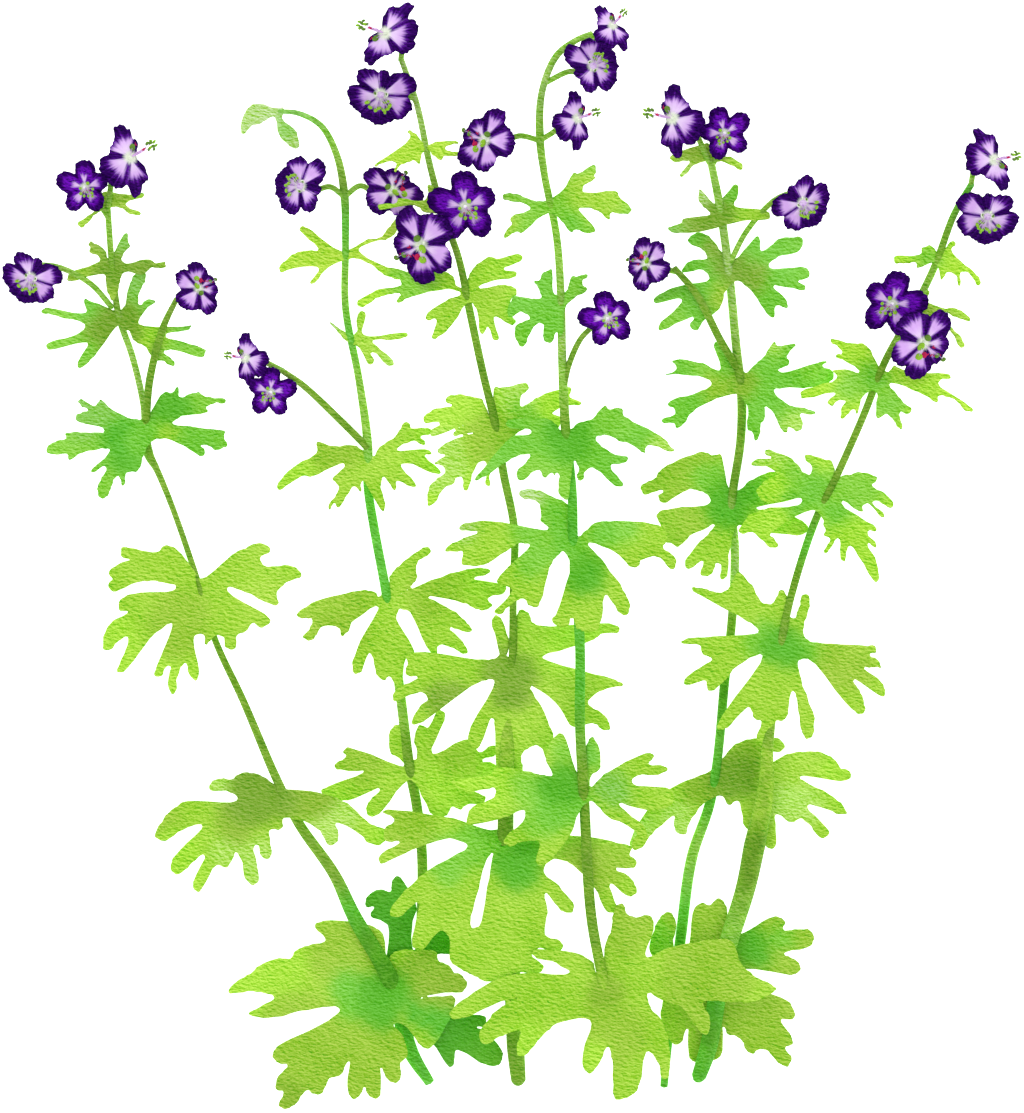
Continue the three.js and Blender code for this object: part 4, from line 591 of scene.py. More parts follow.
# Greens along each stem: y of the place, name of the green.
stemTints = {
    "stem_1": [(-237, "stemGreen"), (-212, "stemGreen"), (-195, "stemDeep"), (-172, "stemDeep"),
        (-158, "stemGreen"), (-145, "stemOlive"), (-100, "stemOlive"), (-40, "stemDark"),
        (30, "stemOlive"), (60, "stemDark"), (74, "stemPale"), (98, "stemPale"), (116, "stemOlive"),
        (157, "stemLime")],
    "stem_2": [(-184, "stemDeep"), (-140, "stemOlive"), (-105, "stemDark"), (-85, "stemOlive"),
        (-60, "stemLime"), (-20, "stemGreen"), (30, "stemGreen"), (55, "stemLime"),
        (80, "stemLime"), (100, "stemGreen"), (120, "stemLime"), (150, "stemGreen"),
        (168, "stemOlive"), (185, "stemLime"), (200, "softGreen")],
    "stem_3": [(-236, "stemOlive"), (-200, "stemOlive"), (-150, "stemLime"), (-125, "stemDark"),
        (-114, "stemDark"), (-108, "duskLime"), (-62, "duskLime"), (-50, "stemDark"),
        (-20, "stemDark"), (10, "stemOlive"), (45, "stemDark"), (80, "stemDark"),
        (125, "stemOlive"), (165, "stemOlive"), (200, "stemPale"), (224, "stemPale")],
    "stem_4": [(-216, "meadow"), (-188, "duskLime"), (-172, "stemOlive"), (-120, "stemDark"),
        (-95, "stemOlive"), (-60, "stemGreen"), (20, "stemGreen"), (45, "stemGreen"),
        (60, "stemDark"), (75, "stemLime"), (95, "stemPale"), (130, "stemLime"), (160, "stemLime"),
        (190, "stemLime"), (215, "stemPale"), (235, "stemLime")],
    "stem_5": [(-239, "stemGreen"), (-222, "stemGreen"), (-205, "stemDeep"), (-185, "stemDeep"),
        (-160, "stemGreen"), (-130, "stemLime"), (-110, "stemGreen"), (-65, "stemDeep"),
        (-30, "stemDark"), (-8, "stemPale"), (12, "stemPale"), (32, "stemDark"), (85, "stemOlive"),
        (108, "stemPale"), (145, "stemPale"), (178, "stemLime")],
    "stem_6": [(-234, "stemGreen"), (-215, "stemDeep"), (-198, "stemGreen"), (-165, "stemLime"),
        (-145, "stemDark"), (-128, "stemDark"), (-116, "duskLime"), (-88, "duskLime"),
        (-80, "stemOlive"), (-30, "stemOlive"), (-8, "stemDark"), (5, "stemGreen"),
        (22, "stemDark"), (90, "stemDark"), (115, "stemLime"), (145, "stemOlive"),
        (168, "stemGreen")],
}

# Degrees by which each kind of bloom leans over, as the solids have it.
bloomLean = {"star": 17, "cup": 38, "open": 42, "side": 62}


def smoothLine(points, perSpan, closed=False):
    # a curve through the points, each span a cubic whose ends' slopes come from the
    # neighbours, with knots spaced by the square root of the distance between points
    p = np.asarray(points, float)
    if closed:
        ring = np.vstack([p[-1:], p, p[:2]])
    else:
        ring = np.vstack([2 * p[:1] - p[1:2], p, 2 * p[-1:] - p[-2:-1]])
    p0, p1, p2, p3 = ring[:-3], ring[1:-2], ring[2:-1], ring[3:]
    d0, d1, d2 = (np.maximum(np.linalg.norm(b - a, axis=1) ** 0.5, 1e-4)[:, None]
                  for a, b in ((p0, p1), (p1, p2), (p2, p3)))
    slope1 = ((p1 - p0) / d0 - (p2 - p0) / (d0 + d1) + (p2 - p1) / d1) * d1
    slope2 = ((p2 - p1) / d1 - (p3 - p1) / (d1 + d2) + (p3 - p2) / d2) * d1
    t = (np.arange(perSpan) / perSpan)[None, :, None]
    p1, p2, slope1, slope2 = (a[:, None, :] for a in (p1, p2, slope1, slope2))
    line = ((2 * t**3 - 3 * t**2 + 1) * p1 + (t**3 - 2 * t**2 + t) * slope1
            + (3 * t**2 - 2 * t**3) * p2 + (t**3 - t**2) * slope2)
    line = line.reshape(-1, p.shape[1])
    return line if closed else np.vstack([line, ring[-2:-1]])


def surface(points, quads, triangles, values):
    return {"points": points, "quads": quads, "triangles": triangles, "values": values}


def gridFaces(rows, cols, first=0, flip=False):
    # quads of a grid that closes on itself round its columns
    r, c = np.meshgrid(np.arange(rows - 1), np.arange(cols), indexing="ij")
    c2 = (c + 1) % cols
    quad = np.stack([r * cols + c, (r + 1) * cols + c, (r + 1) * cols + c2, r * cols + c2], axis=-1)
    quad = quad.reshape(-1, 4) + first
    return quad[:, ::-1] if flip else quad


def poleFans(total, last, cols):
    # triangles that close the first ring of a grid and the ring that starts at point last,
    # each to its pole; the poles are the last two of the surface's points
    c = np.arange(cols)
    c2 = np.roll(c, -1)
    return np.vstack([np.column_stack([np.full(cols, total - 2), c, c2]),
                      np.column_stack([np.full(cols, total - 1), last + c2, last + c])])


def sheetSurface(middle, half, across, values):
    # a thin closed sheet fanning out from a pole: row 0 is the ring nearest the pole and the
    # last row the rim, which both faces share; each face is the middle plus or minus half
    # its thickness along across
    rows, cols, _ = middle.shape
    pole = middle[0].mean(axis=0)
    offset = half[..., None] * across
    top, bottom = middle + offset, middle[:-1] - offset[:-1]
    points = np.vstack([top.reshape(-1, 3), bottom.reshape(-1, 3),
                        pole + offset[0, 0], pole - offset[0, 0]])
    count = rows * cols
    c = np.arange(cols)
    c2 = np.roll(c, -1)
    rim, lowRim = (rows - 1) * cols, count + (rows - 2) * cols
    edge = np.column_stack([lowRim + c2, rim + c2, rim + c, lowRim + c])
    spread = {}
    for name, value in values.items():
        flat = value.reshape((count,) + value.shape[2:])
        core = value[0].mean(axis=0)[None]
        spread[name] = np.concatenate([flat, flat[:rim], core, core])
    quads = np.vstack([gridFaces(rows, cols), gridFaces(rows - 1, cols, count, True), edge])
    return surface(points, quads, poleFans(len(points), count, cols), spread)


def tubeSurface(line, radius, sides, values, ridge=0.0):
    # a round stalk along a line: each ring is the line's point plus the radius times
    # (cosine, sine) across it, with five low ridges, and a pole closes each end
    line = np.asarray(line, float)
    ahead = np.gradient(line, axis=0)
    ahead /= np.linalg.norm(ahead, axis=1)[:, None]
    normal = np.linalg.svd(line - line.mean(axis=0))[2][2]
    side = np.cross(ahead, normal)
    side /= np.linalg.norm(side, axis=1)[:, None]
    up = np.cross(side, ahead)
    angle = np.arange(sides) / sides * 2 * math.pi
    grown = radius[:, None] * (1 + ridge * np.cos(5 * angle)[None])
    points = (line[:, None] + grown[..., None] * (np.cos(angle)[None, :, None] * side[:, None]
                                                  + np.sin(angle)[None, :, None] * up[:, None]))
    rows = len(line)
    blunt = stemShape["endBlunt"]
    ends = np.array([line[0] - ahead[0] * radius[0] * blunt,
                     line[-1] + ahead[-1] * radius[-1] * blunt])
    points = np.vstack([points.reshape(-1, 3), ends])
    spread = {name: np.concatenate([np.repeat(value, sides, axis=0), value[:1], value[-1:]])
              for name, value in values.items()}
    fans = poleFans(len(points), (rows - 1) * sides, sides)
    return surface(points, gridFaces(rows, sides), fans, spread)


def addPiece(name, surfaces, material, nodes):
    # the surfaces' arrays joined end to end and put into one mesh
    starts = np.cumsum([0] + [len(s["points"]) for s in surfaces])
    points = np.vstack([s["points"] for s in surfaces]) * mm
    quads = np.vstack([s["quads"] + start for s, start in zip(surfaces, starts)])
    triangles = np.vstack([s["triangles"] + start for s, start in zip(surfaces, starts)])
    mesh = bpy.data.meshes.new(name)
    mesh.vertices.add(len(points))
    mesh.vertices.foreach_set("co", points.astype(np.float32).ravel())
    corners = np.concatenate([quads.ravel(), triangles.ravel()]).astype(np.int32)
    sizes = np.concatenate([np.full(len(quads), 4), np.full(len(triangles), 3)]).astype(np.int32)
    mesh.loops.add(len(corners))
    mesh.loops.foreach_set("vertex_index", corners)
    mesh.polygons.add(len(sizes))
    starts = np.concatenate([[0], np.cumsum(sizes)[:-1]]).astype(np.int32)
    mesh.polygons.foreach_set("loop_start", starts)
    mesh.polygons.foreach_set("use_smooth", np.ones(len(sizes), bool))
    for key in surfaces[0]["values"]:
        joined = np.concatenate([s["values"][key] for s in surfaces]).astype(np.float32)
        if joined.ndim == 1:
            mesh.attributes.new(key, "FLOAT", "POINT").data.foreach_set("value", joined)
        else:
            full = np.column_stack([joined, np.ones(len(joined), np.float32)]).ravel()
            mesh.attributes.new(key, "FLOAT_COLOR", "POINT").data.foreach_set("color", full)
    mesh.update(calc_edges=True)
    mesh.validate()
    mesh.materials.append(material)
    piece = bpy.data.objects.new(name, mesh)
    bpy.context.scene.collection.objects.link(piece)
    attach(piece, "root")
    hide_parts(*nodes)


def placed(points):
    # the stems' own x and y moved so that the clump's middle is at zero
    moved = np.array(points, float)
    moved[..., :2] -= plantMiddle
    return moved


# mm, but for shares and counts
leafShape = {
    "perSpan": 5, "ripple": 0.17, "rippleLengths": (0.45, 0.8, 1.5), "rippleStrength": (0.5, 1),
    "cell": 0.9, "cornerPasses": 4, "rimPasses": 3, "evenPasses": 6,
    "halfThickness": 0.34, "rimHalfThickness": 0.1, "rimRun": 0.9, "lowestBlade": 0.6,
    "seatRise": 0.25, "tuckDepth": 0.9, "tuckMore": 0.7, "tuckRun": 6,
    "ruffle": 0.3, "ruffleCounts": (5, 9, 14), "ruffleStrength": (0.4, 1),
    "tipStart": 0.6, "tipLight": 0.15,
    "washEdge": 1.6, "washSize": 0.92, "washUneven": 0.16, "unevenCounts": (2, 3, 5),
    "washRagged": 0.7, "raggedTurns": (0.9, 1.1),
    "mottle": (0.72, 0.86, 0.6), "mottleReach": -0.1,
}
stemSamples = 24  # places looked at on each span of a stem for the one nearest a leaf's seat


def stemPlace(path, seat):
    # height, half width and direction of the stem where it passes nearest the seat
    path = np.asarray(path, float)
    line = smoothLine(path[:, :3], stemSamples)
    width = np.interp(np.arange(len(line)) / stemSamples, np.arange(len(path)), path[:, 3])
    nearest = np.argmin(np.hypot(line[:, 0] - seat[0], line[:, 1] - seat[1]))
    ahead = np.gradient(line, axis=0)[nearest]
    return line[nearest, 2], width[nearest] / 2, ahead / np.linalg.norm(ahead)


def leafEdge(leaf, chance):
    # the blade's outline: a smooth line through its landmarks, with a fine ripple across it
    shape = leafShape
    line = smoothLine(np.array(leaf["edge"], float).reshape(-1, 2), shape["perSpan"], True)
    step = np.roll(line, -1, axis=0) - np.roll(line, 1, axis=0)
    step /= np.maximum(np.hypot(*step.T), 1e-6)[:, None]
    along = np.cumsum(np.hypot(*(line - np.roll(line, 1, axis=0)).T))
    wave = sum(chance.uniform(*shape["rippleStrength"]) * np.sin(along / length + anyPhase(chance))
               for length in shape["rippleLengths"])
    return line + shape["ripple"] * wave[:, None] * np.stack([step[:, 1], -step[:, 0]], axis=-1)


def insideOf(points, edge):
    # a point is inside when a line going right from it crosses the outline an odd number of times
    after = np.roll(edge, -1, axis=0)
    x, y = points[..., 0, None], points[..., 1, None]
    straddles = (edge[:, 1] > y) != (after[:, 1] > y)
    rise = after[:, 1] - edge[:, 1]
    rise = np.where(np.abs(rise) < 1e-9, 1e-9, rise)
    crossing = edge[:, 0] + (y - edge[:, 1]) * (after[:, 0] - edge[:, 0]) / rise
    return (straddles & (crossing > x)).sum(axis=-1) % 2 == 1


def nearestOn(points, edge):
    # the closest place to each point on the outline's straight steps, and how far it is
    step = np.roll(edge, -1, axis=0) - edge
    lengths = np.maximum((step**2).sum(axis=1), 1e-12)
    share = ((points[:, None, 0] - edge[:, 0]) * step[:, 0]
             + (points[:, None, 1] - edge[:, 1]) * step[:, 1])
    share = np.clip(share / lengths, 0, 1)
    x = edge[:, 0] + share * step[:, 0]
    y = edge[:, 1] + share * step[:, 1]
    gap = np.hypot(points[:, None, 0] - x, points[:, None, 1] - y)
    best = np.argmin(gap, axis=1)
    rows = np.arange(len(points))
    return np.stack([x[rows, best], y[rows, best]], axis=-1), gap[rows, best]


def cellsInside(edge, seat, cell):
    # a grid of square cells, those kept whose middle lies inside the outline and which hang
    # together with the seat's own, side by side and never by a corner alone
    low = np.floor((edge.min(axis=0) - 2 * cell) / cell) * cell
    count = np.ceil((edge.max(axis=0) + 2 * cell - low) / cell).astype(int)
    cx, cy = np.meshgrid(np.arange(count[0]), np.arange(count[1]), indexing="ij")
    middles = np.stack([cx + 0.5, cy + 0.5], axis=-1) * cell + low
    kept = insideOf(middles.reshape(-1, 2), edge).reshape(cx.shape)
    for _ in range(leafShape["cornerPasses"]):
        rising = kept[:-1, :-1] & kept[1:, 1:] & ~kept[1:, :-1] & ~kept[:-1, 1:]
        kept[1:, :-1] |= rising
        falling = kept[1:, :-1] & kept[:-1, 1:] & ~kept[:-1, :-1] & ~kept[1:, 1:]
        kept[:-1, :-1] |= falling
    near = np.where(kept, np.hypot(middles[..., 0] - seat[0], middles[..., 1] - seat[1]), 1e9)
    joined = near == near.min()
    size = 0
    while joined.sum() != size:
        size = joined.sum()
        grown = joined.copy()
        grown[1:] |= joined[:-1]
        grown[:-1] |= joined[1:]
        grown[:, 1:] |= joined[:, :-1]
        grown[:, :-1] |= joined[:, 1:]
        joined = grown & kept
    return joined, low


def bladeNet(edge, seat, cell):
    # the kept cells' corners with those on the border drawn onto the outline and the rest
    # evened out between their neighbours; also the cells and the border's steps, anticlockwise
    kept, low = cellsInside(edge, seat, cell)
    padded = np.pad(kept, 1)
    around = np.stack([padded[:-1, :-1], padded[1:, :-1], padded[1:, 1:], padded[:-1, 1:]])
    used, border = around.any(axis=0), around.any(axis=0) & ~around.all(axis=0)
    number = np.cumsum(used).reshape(used.shape) - 1
    ix, iy = np.meshgrid(np.arange(used.shape[0]), np.arange(used.shape[1]), indexing="ij")
    place = np.stack([ix, iy], axis=-1) * cell + low
    i, j = np.nonzero(kept)
    cells = np.column_stack([number[i, j], number[i + 1, j],
                             number[i + 1, j + 1], number[i, j + 1]])
    # a cell's side from corner a to corner b is a step of the border where the cell beyond it,
    # di and dj away, isn't kept
    steps = np.vstack([cells[~padded[i + 1 + di, j + 1 + dj]][:, [a, b]] for a, b, di, dj
                       in ((0, 1, 0, -1), (1, 2, 1, 0), (2, 3, 0, 1), (3, 0, -1, 0))])
    points = place[used].astype(float)
    after, before = np.arange(len(points)), np.arange(len(points))
    after[steps[:, 0]] = steps[:, 1]
    before[steps[:, 1]] = steps[:, 0]
    rim = np.nonzero(border[used])[0]
    for _ in range(leafShape["rimPasses"]):
        between = 0.5 * points[rim] + 0.25 * (points[before[rim]] + points[after[rim]])
        points[rim] = nearestOn(between, edge)[0]
    inner = used & ~border
    grid = np.zeros(used.shape + (2,))
    for _ in range(leafShape["evenPasses"]):
        grid[used] = points
        mean = np.zeros_like(grid)
        mean[1:-1, 1:-1] = (grid[2:, 1:-1] + grid[:-2, 1:-1] + grid[1:-1, 2:] + grid[1:-1, :-2]) / 4
        points = np.where((inner[used])[:, None], mean[used], points)
    return points, cells, steps


def bladeColour(leaf, points, out, chance):
    # the blade's green, lighter towards the tips, under its washes: each is one at its middle
    # and falls to nothing past its reach, as 1 / (1 + e to the power of the way beyond it)
    shape = leafShape
    colour = np.tile(paint(leaf["blade"]), (len(points), 1))
    tipStart = shape["tipStart"]
    tipLight = np.clip((out - tipStart) / (1 - tipStart), 0, 1)[:, None] * shape["tipLight"]
    colour = colour * (1 - tipLight) + paint("brightLime") * tipLight
    for x, y, reach, name in leaf["washes"]:
        dx, dy = points[:, 0] - x, points[:, 1] - y
        bearing = np.arctan2(dy, dx)
        uneven = sum(np.sin(count * bearing + anyPhase(chance)) / count
                     for count in shape["unevenCounts"])
        turnX, turnY = shape["raggedTurns"]
        ragged = np.sin(dx * turnX + anyPhase(chance)) * np.sin(dy * turnY + anyPhase(chance))
        size = reach * (shape["washSize"] + shape["washUneven"] * uneven)
        beyond = np.hypot(dx, dy) - size + shape["washRagged"] * ragged
        share = (1 / (1 + np.exp(beyond / shape["washEdge"])))[:, None]
        colour = colour * (1 - share) + paint(name) * share
    return colour


def leafSurface(path, leaf, seed):
    # a blade is a height over every x and y inside its outline: the stem's, plus an arch, less a
    # droop that grows with the square of the reach, tucked under the stem ahead of the seat and
    # over it behind; both faces keep half the thickness, which thins towards the rim
    shape = leafShape
    chance = np.random.default_rng(seed)
    seat = np.array(leaf["seat"], float)
    stemHeight, radius, ahead = stemPlace(path, seat)
    edge = leafEdge(leaf, chance)
    points, cells, steps = bladeNet(edge, seat, shape["cell"])
    fromRim = nearestOn(points, edge)[1]
    x, y = (points - seat).T
    bearing = np.arctan2(y, x)
    span = np.hypot(*(edge - seat).T).max()
    out = np.hypot(x, y) / span
    tuck = np.tanh((x * ahead[0] + y * ahead[1]) / shape["tuckRun"])
    if "allUnder" in leaf:
        tuck = np.ones_like(tuck)
    height = (stemHeight + shape["seatRise"] * radius
              - (shape["tuckDepth"] * radius + shape["tuckMore"]) * tuck)
    height = height + leaf["arch"] * 4 * out * (1 - out) - leaf["droop"] * out**2
    wave = sum(chance.uniform(*shape["ruffleStrength"]) * np.sin(count * bearing + anyPhase(chance))
               for count in shape["ruffleCounts"])
    height = np.maximum(height + shape["ruffle"] * wave * out**2, shape["lowestBlade"])
    thin, full = shape["rimHalfThickness"], shape["halfThickness"]
    half = thin + (full - thin) * np.sqrt(np.clip(fromRim / shape["rimRun"], 0, 1))
    top = placed(np.column_stack([points, height + half]))
    bottom = placed(np.column_stack([points, height - half]))
    count = len(points)
    walls = np.hstack([steps + count, steps[:, ::-1]])
    quads = np.vstack([cells, cells[:, ::-1] + count, walls])
    colour = np.tile(bladeColour(leaf, points, out, chance), (2, 1))
    return surface(np.vstack([top, bottom]), quads, np.zeros((0, 3), int),
                   {"leafColour": colour, "shadeColour": colour * shape["mottle"],
                    "shadeReach": np.full(2 * count, shape["mottleReach"])})


# mm, but for shares and counts
stemShape = {
    "sides": 16, "perSpan": 9, "ridge": 0.035, "lowest": 0.02, "endBlunt": 0.35,
    "sideSides": 12, "sidePerSpan": 10, "stalkSides": 12, "stalkPerSpan": 8, "stalkWidth": 2.6,
    "receptacleLength": 4.5, "receptacleWidth": 4.4, "flare": 3, "under": 0.75, "blunt": 0.2,
    "mottle": (0.5, 0.64, 0.45), "mottleReach": 0.25,
}


def stalkSurface(path, sides, perSpan, greens=None, stemName=None, ridge=0.0):
    # a stalk through the path's points, its width running evenly from point to point, in the
    # stem's tints by y or from the first green to the second
    path = np.asarray(path, float)
    line = smoothLine(path[:, :3], perSpan)
    width = np.interp(np.arange(len(line)) / perSpan, np.arange(len(path)), path[:, 3])
    if stemName:
        places = [y for y, _ in stemTints[stemName]]
        tints = np.array([paint(name) for _, name in stemTints[stemName]])
        colour = np.stack([np.interp(line[:, 1], places, tints[:, k]) for k in range(3)], axis=-1)
    else:
        share = np.linspace(0, 1, len(line))[:, None]
        colour = paint(greens[0]) * (1 - share) + paint(greens[1]) * share
    made = tubeSurface(placed(line), width / 2, sides, {
        "leafColour": colour, "shadeColour": colour * stemShape["mottle"],
        "shadeReach": np.full(len(line), stemShape["mottleReach"])}, ridge)
    made["points"][:, 2] = np.maximum(made["points"][:, 2], stemShape["lowest"])
    return made


def bloomFrame(bloom):
    # the bloom's middle and its own three directions, the third the way its face looks:
    # upright turned straight over towards the bearing by the kind's lean
    lean = math.radians(bloomLean[bloom["kind"]])
    heading = math.radians(bloom["bearing"])
    a, b = math.sin(lean) * math.cos(heading), math.sin(lean) * math.sin(heading)
    c = math.cos(lean)
    across = np.array([1 - a * a / (1 + c), -a * b / (1 + c), -a])
    up = np.array([-a * b / (1 + c), 1 - b * b / (1 + c), -b])
    return np.array(bloom["at"], float), np.stack([across, up, [a, b, c]])


def bloomStalk(bloom):
    # the stalk runs on straight along the bloom's facing into the receptacle under its face
    shape = stemShape
    middle, axes = bloomFrame(bloom)
    top = -shape["under"] - shape["blunt"] * shape["receptacleWidth"]
    path = [(*point, shape["stalkWidth"]) for point in bloom["stalk"]]
    low = top - shape["receptacleLength"]
    for distance, width in ((low - shape["flare"], shape["stalkWidth"]),
                            (low, shape["stalkWidth"]), (top, shape["receptacleWidth"])):
        path.append((*(middle + distance * axes[2]), width))
    return stalkSurface(path, shape["stalkSides"], shape["stalkPerSpan"],
                        ("stemLime", "stemOlive"))


# Each kind of bloom as seen from above: its outline as degrees from its bearing and shares
# of its radius, and the lilac wedge of each petal as middle, half width, start and end.
bloomOutlines = {
    "side": [(5, 0.2), (20, 0.3), (32, 0.45), (42, 0.52), (52, 0.54), (57, 0.64), (60, 0.79),
        (66, 0.8), (70, 0.91), (78, 0.95), (88, 0.94), (92, 0.8), (100, 0.67), (110, 0.61),
        (124, 0.6), (134, 0.57), (141, 0.58), (148, 0.73), (157, 0.83), (164, 0.83), (172, 0.9),
        (181, 0.88), (188, 0.83), (197, 0.89), (206, 0.92), (215, 0.92), (225, 0.87), (232, 0.75),
        (238, 0.86), (243, 1.08), (252, 1.07), (258, 0.95), (264, 0.8), (273, 0.78), (282, 0.73),
        (288, 0.58), (298, 0.46), (306, 0.3), (318, 0.2), (340, 0.18)],
    "cup": [(0, 0.84), (12, 0.81), (22, 0.8), (31, 0.8), (38, 0.88), (46, 0.92), (54, 0.91),
        (64, 0.97), (73, 0.92), (80, 0.84), (86, 0.76), (91, 0.85), (97, 1.01), (104, 1.06),
        (112, 1.05), (121, 1.0), (130, 0.92), (139, 0.79), (147, 0.7), (153, 0.59), (160, 0.66),
        (169, 0.69), (179, 0.66), (186, 0.62), (196, 0.73), (205, 0.77), (213, 0.86), (222, 0.9),
        (232, 0.85), (240, 0.77), (245, 0.66), (250, 0.8), (257, 0.91), (266, 0.95), (276, 0.9),
        (288, 0.9), (299, 0.83), (310, 0.78), (321, 0.83), (334, 0.78), (346, 0.83)],
    "open": [(0, 0.68), (13, 0.7), (23, 0.65), (33, 0.76), (45, 0.88), (55, 1.0), (65, 1.04),
        (76, 1.02), (83, 0.97), (86.5, 0.81), (92, 0.9), (103, 0.97), (116, 1.0), (126, 0.9),
        (137, 0.8), (147, 0.67), (154, 0.69), (162, 0.86), (172, 0.93), (182, 0.95), (194, 0.95),
        (206, 0.92), (219, 0.87), (232, 0.81), (241, 0.78), (248, 0.92), (257, 1.06), (266, 1.06),
        (276, 1.02), (285, 0.94), (293, 0.83), (301, 0.69), (310, 0.71), (321, 0.74), (332, 0.71),
        (346, 0.66)],
    "star": [(5, 0.9), (15, 0.89), (25, 0.82), (33, 0.71), (39, 0.73), (49, 0.88), (60, 0.99),
        (73, 1.01), (86, 0.99), (95, 0.92), (102, 0.76), (109, 0.62), (115, 0.72), (122, 0.9),
        (131, 1.02), (142, 1.1), (153, 1.08), (164, 0.97), (174, 0.8), (183, 0.7), (193, 0.78),
        (203, 0.93), (214, 1.0), (226, 0.98), (237, 0.87), (247, 0.68), (256, 0.58), (264, 0.76),
        (274, 0.92), (284, 1.0), (295, 0.98), (307, 0.89), (319, 0.77), (330, 0.64), (339, 0.7),
        (350, 0.86)],
}
petalWedges = {
    "side": [(92, 42, 0.02, 0.62), (188, 34, 0.03, 0.64), (256, 24, 0.03, 0.66)],
    "cup": [(111, 22, 0.06, 0.82), (62, 23, 0.06, 0.78), (206, 26, 0.05, 0.62),
        (278, 28, 0.06, 0.66), (330, 26, 0.03, 0.5), (12, 27, 0.03, 0.46)],
    "open": [(125, 23, 0.04, 0.84), (68, 26, 0.04, 0.74), (198, 26, 0.04, 0.77),
        (264, 18, 0.05, 0.8), (318, 22, 0.05, 0.55), (4, 16, 0.06, 0.53)],
    "star": [(146, 20, 0.03, 0.55), (76, 18, 0.03, 0.56), (5, 21, 0.03, 0.62),
        (291, 20, 0.04, 0.62), (220, 22, 0.04, 0.62)],
}
# shares of the radius, but for thickness and bend's start in mm, degrees and counts
petalShape = {
    "columns": 180, "rows": 15, "rowPower": 0.8, "halfThickness": 0.3, "rimFull": 1.03,
    "ruffle": 0.035, "ruffleCounts": (11, 17, 26), "scallop": 0.03, "scallopCounts": (23, 34, 47),
    "crease": 0.035, "creasePower": 1.5, "creaseSpan": 14, "creaseDepth": 0.2,
    "wedgeLeast": 0.12, "wedgeSlopes": (1.3, 0.5, 1.5), "swirlRise": 0.12,
    "slopeLean": {"star": 17, "cup": 38, "open": 42, "side": 40},
    "bend": {"star": 0.1, "cup": 0.2, "open": 0.18, "side": -0.3}, "bendStart": 2.7,
}


def ringCurve(points, angles):
    # a smooth closed curve of reach over degrees through the points, read at the angles
    table = np.array(points, float)
    line = smoothLine(np.vstack([table - [360, 0], table, table + [360, 0]]) * [0.01, 1], 12)
    return np.interp(angles, np.maximum.accumulate(line[:, 0]) * 100, line[:, 1])


def bloomHeight(bloom, along, across):
    # the tilted face as a height: it falls along the bearing by the lean's tangent, and its
    # rim is bent up or back in proportion to the distance from the middle past bendStart
    kind = bloom["kind"]
    lean = math.radians(petalShape["slopeLean"][kind])
    out = np.hypot(along, across)
    bent = np.maximum(out - petalShape["bendStart"], 0)
    return -along * math.tan(lean) + petalShape["bend"][kind] * bent


def bloomPlace(bloom, turn, reach, lift):
    # degrees from the bearing, a share of the radius and a height over the face, in mm
    heading = np.radians(bloom.get("turn", bloom["bearing"]))
    swing = np.radians(turn) * (-1 if bloom.get("mirrored") else 1)
    leanAway = np.radians(bloom["bearing"])
    distance = reach * bloom["radius"]
    x, y = distance * np.cos(heading + swing), distance * np.sin(heading + swing)
    along = x * math.cos(leanAway) + y * math.sin(leanAway)
    across = -x * math.sin(leanAway) + y * math.cos(leanAway)
    z = bloomHeight(bloom, along, across) + lift
    return np.stack([x + bloom["at"][0], y + bloom["at"][1], z + bloom["at"][2]], axis=-1)


def corollaSurface(bloom, seed):
    # petals are the points of v times the outline, v from the middle to the rim, lifted by
    # a ruffle that grows with v and pressed down in a crease between neighbouring petals
    shape = petalShape
    kind = bloom["kind"]
    chance = np.random.default_rng(seed)
    turn = np.arange(shape["columns"]) / shape["columns"] * 360
    if bloom.get("mirrored"):
        turn = turn[::-1]
    outline, span = bloomOutlines[kind], shape["creaseSpan"]
    rim = ringCurve(outline, turn)
    beside = (ringCurve(outline, turn + span) + ringCurve(outline, turn - span)) / 2
    notch = np.clip(beside - rim, 0, shape["creaseDepth"]) / shape["creaseDepth"]
    angle = np.radians(turn)
    scallop = sum(np.sin(count * angle + anyPhase(chance)) for count in shape["scallopCounts"]) / 3
    rim = rim * (1 + shape["scallop"] * scallop)
    v = ((np.arange(1, shape["rows"] + 1) / shape["rows"]) ** shape["rowPower"])[:, None]
    reach = v * rim
    ruffle = sum(np.sin(count * angle + anyPhase(chance)) for count in shape["ruffleCounts"]) / 3
    crease = shape["crease"] * notch * v ** shape["creasePower"] * 2
    lift = bloom["radius"] * (shape["ruffle"] * ruffle * v**2 - crease)
    middle = placed(bloomPlace(bloom, np.broadcast_to(turn, reach.shape), reach, lift))

    # how deep each point lies inside a wedge, in shares of the radius
    depth = np.full(reach.shape, -1.0)
    sideSlope, endSlope, startSlope = shape["wedgeSlopes"]
    for centre, half, start, end in petalWedges[kind]:
        off = np.abs((turn - centre + 180) % 360 - 180)
        sideways = (half - off)[None] / aRadian * np.maximum(reach, shape["wedgeLeast"])
        inside = np.minimum(np.minimum(sideways * sideSlope, (end - reach) * endSlope),
                            (reach - start) * startSlope)
        depth = np.maximum(depth, inside)
    values = {
        "wedgeDepth": depth * tenths,
        "rimDepth": (rim - reach) * tenths,
        "outward": reach,
        "swirl": np.stack([np.cos(angle) + 0 * reach, np.sin(angle) + 0 * reach,
                           reach * shape["swirlRise"]], axis=-1),
    }
    half = shape["halfThickness"] * np.sqrt(shape["rimFull"] - v**6) * np.ones_like(reach)
    _, axes = bloomFrame(bloom)
    return sheetSurface(middle, half, axes[2], values)


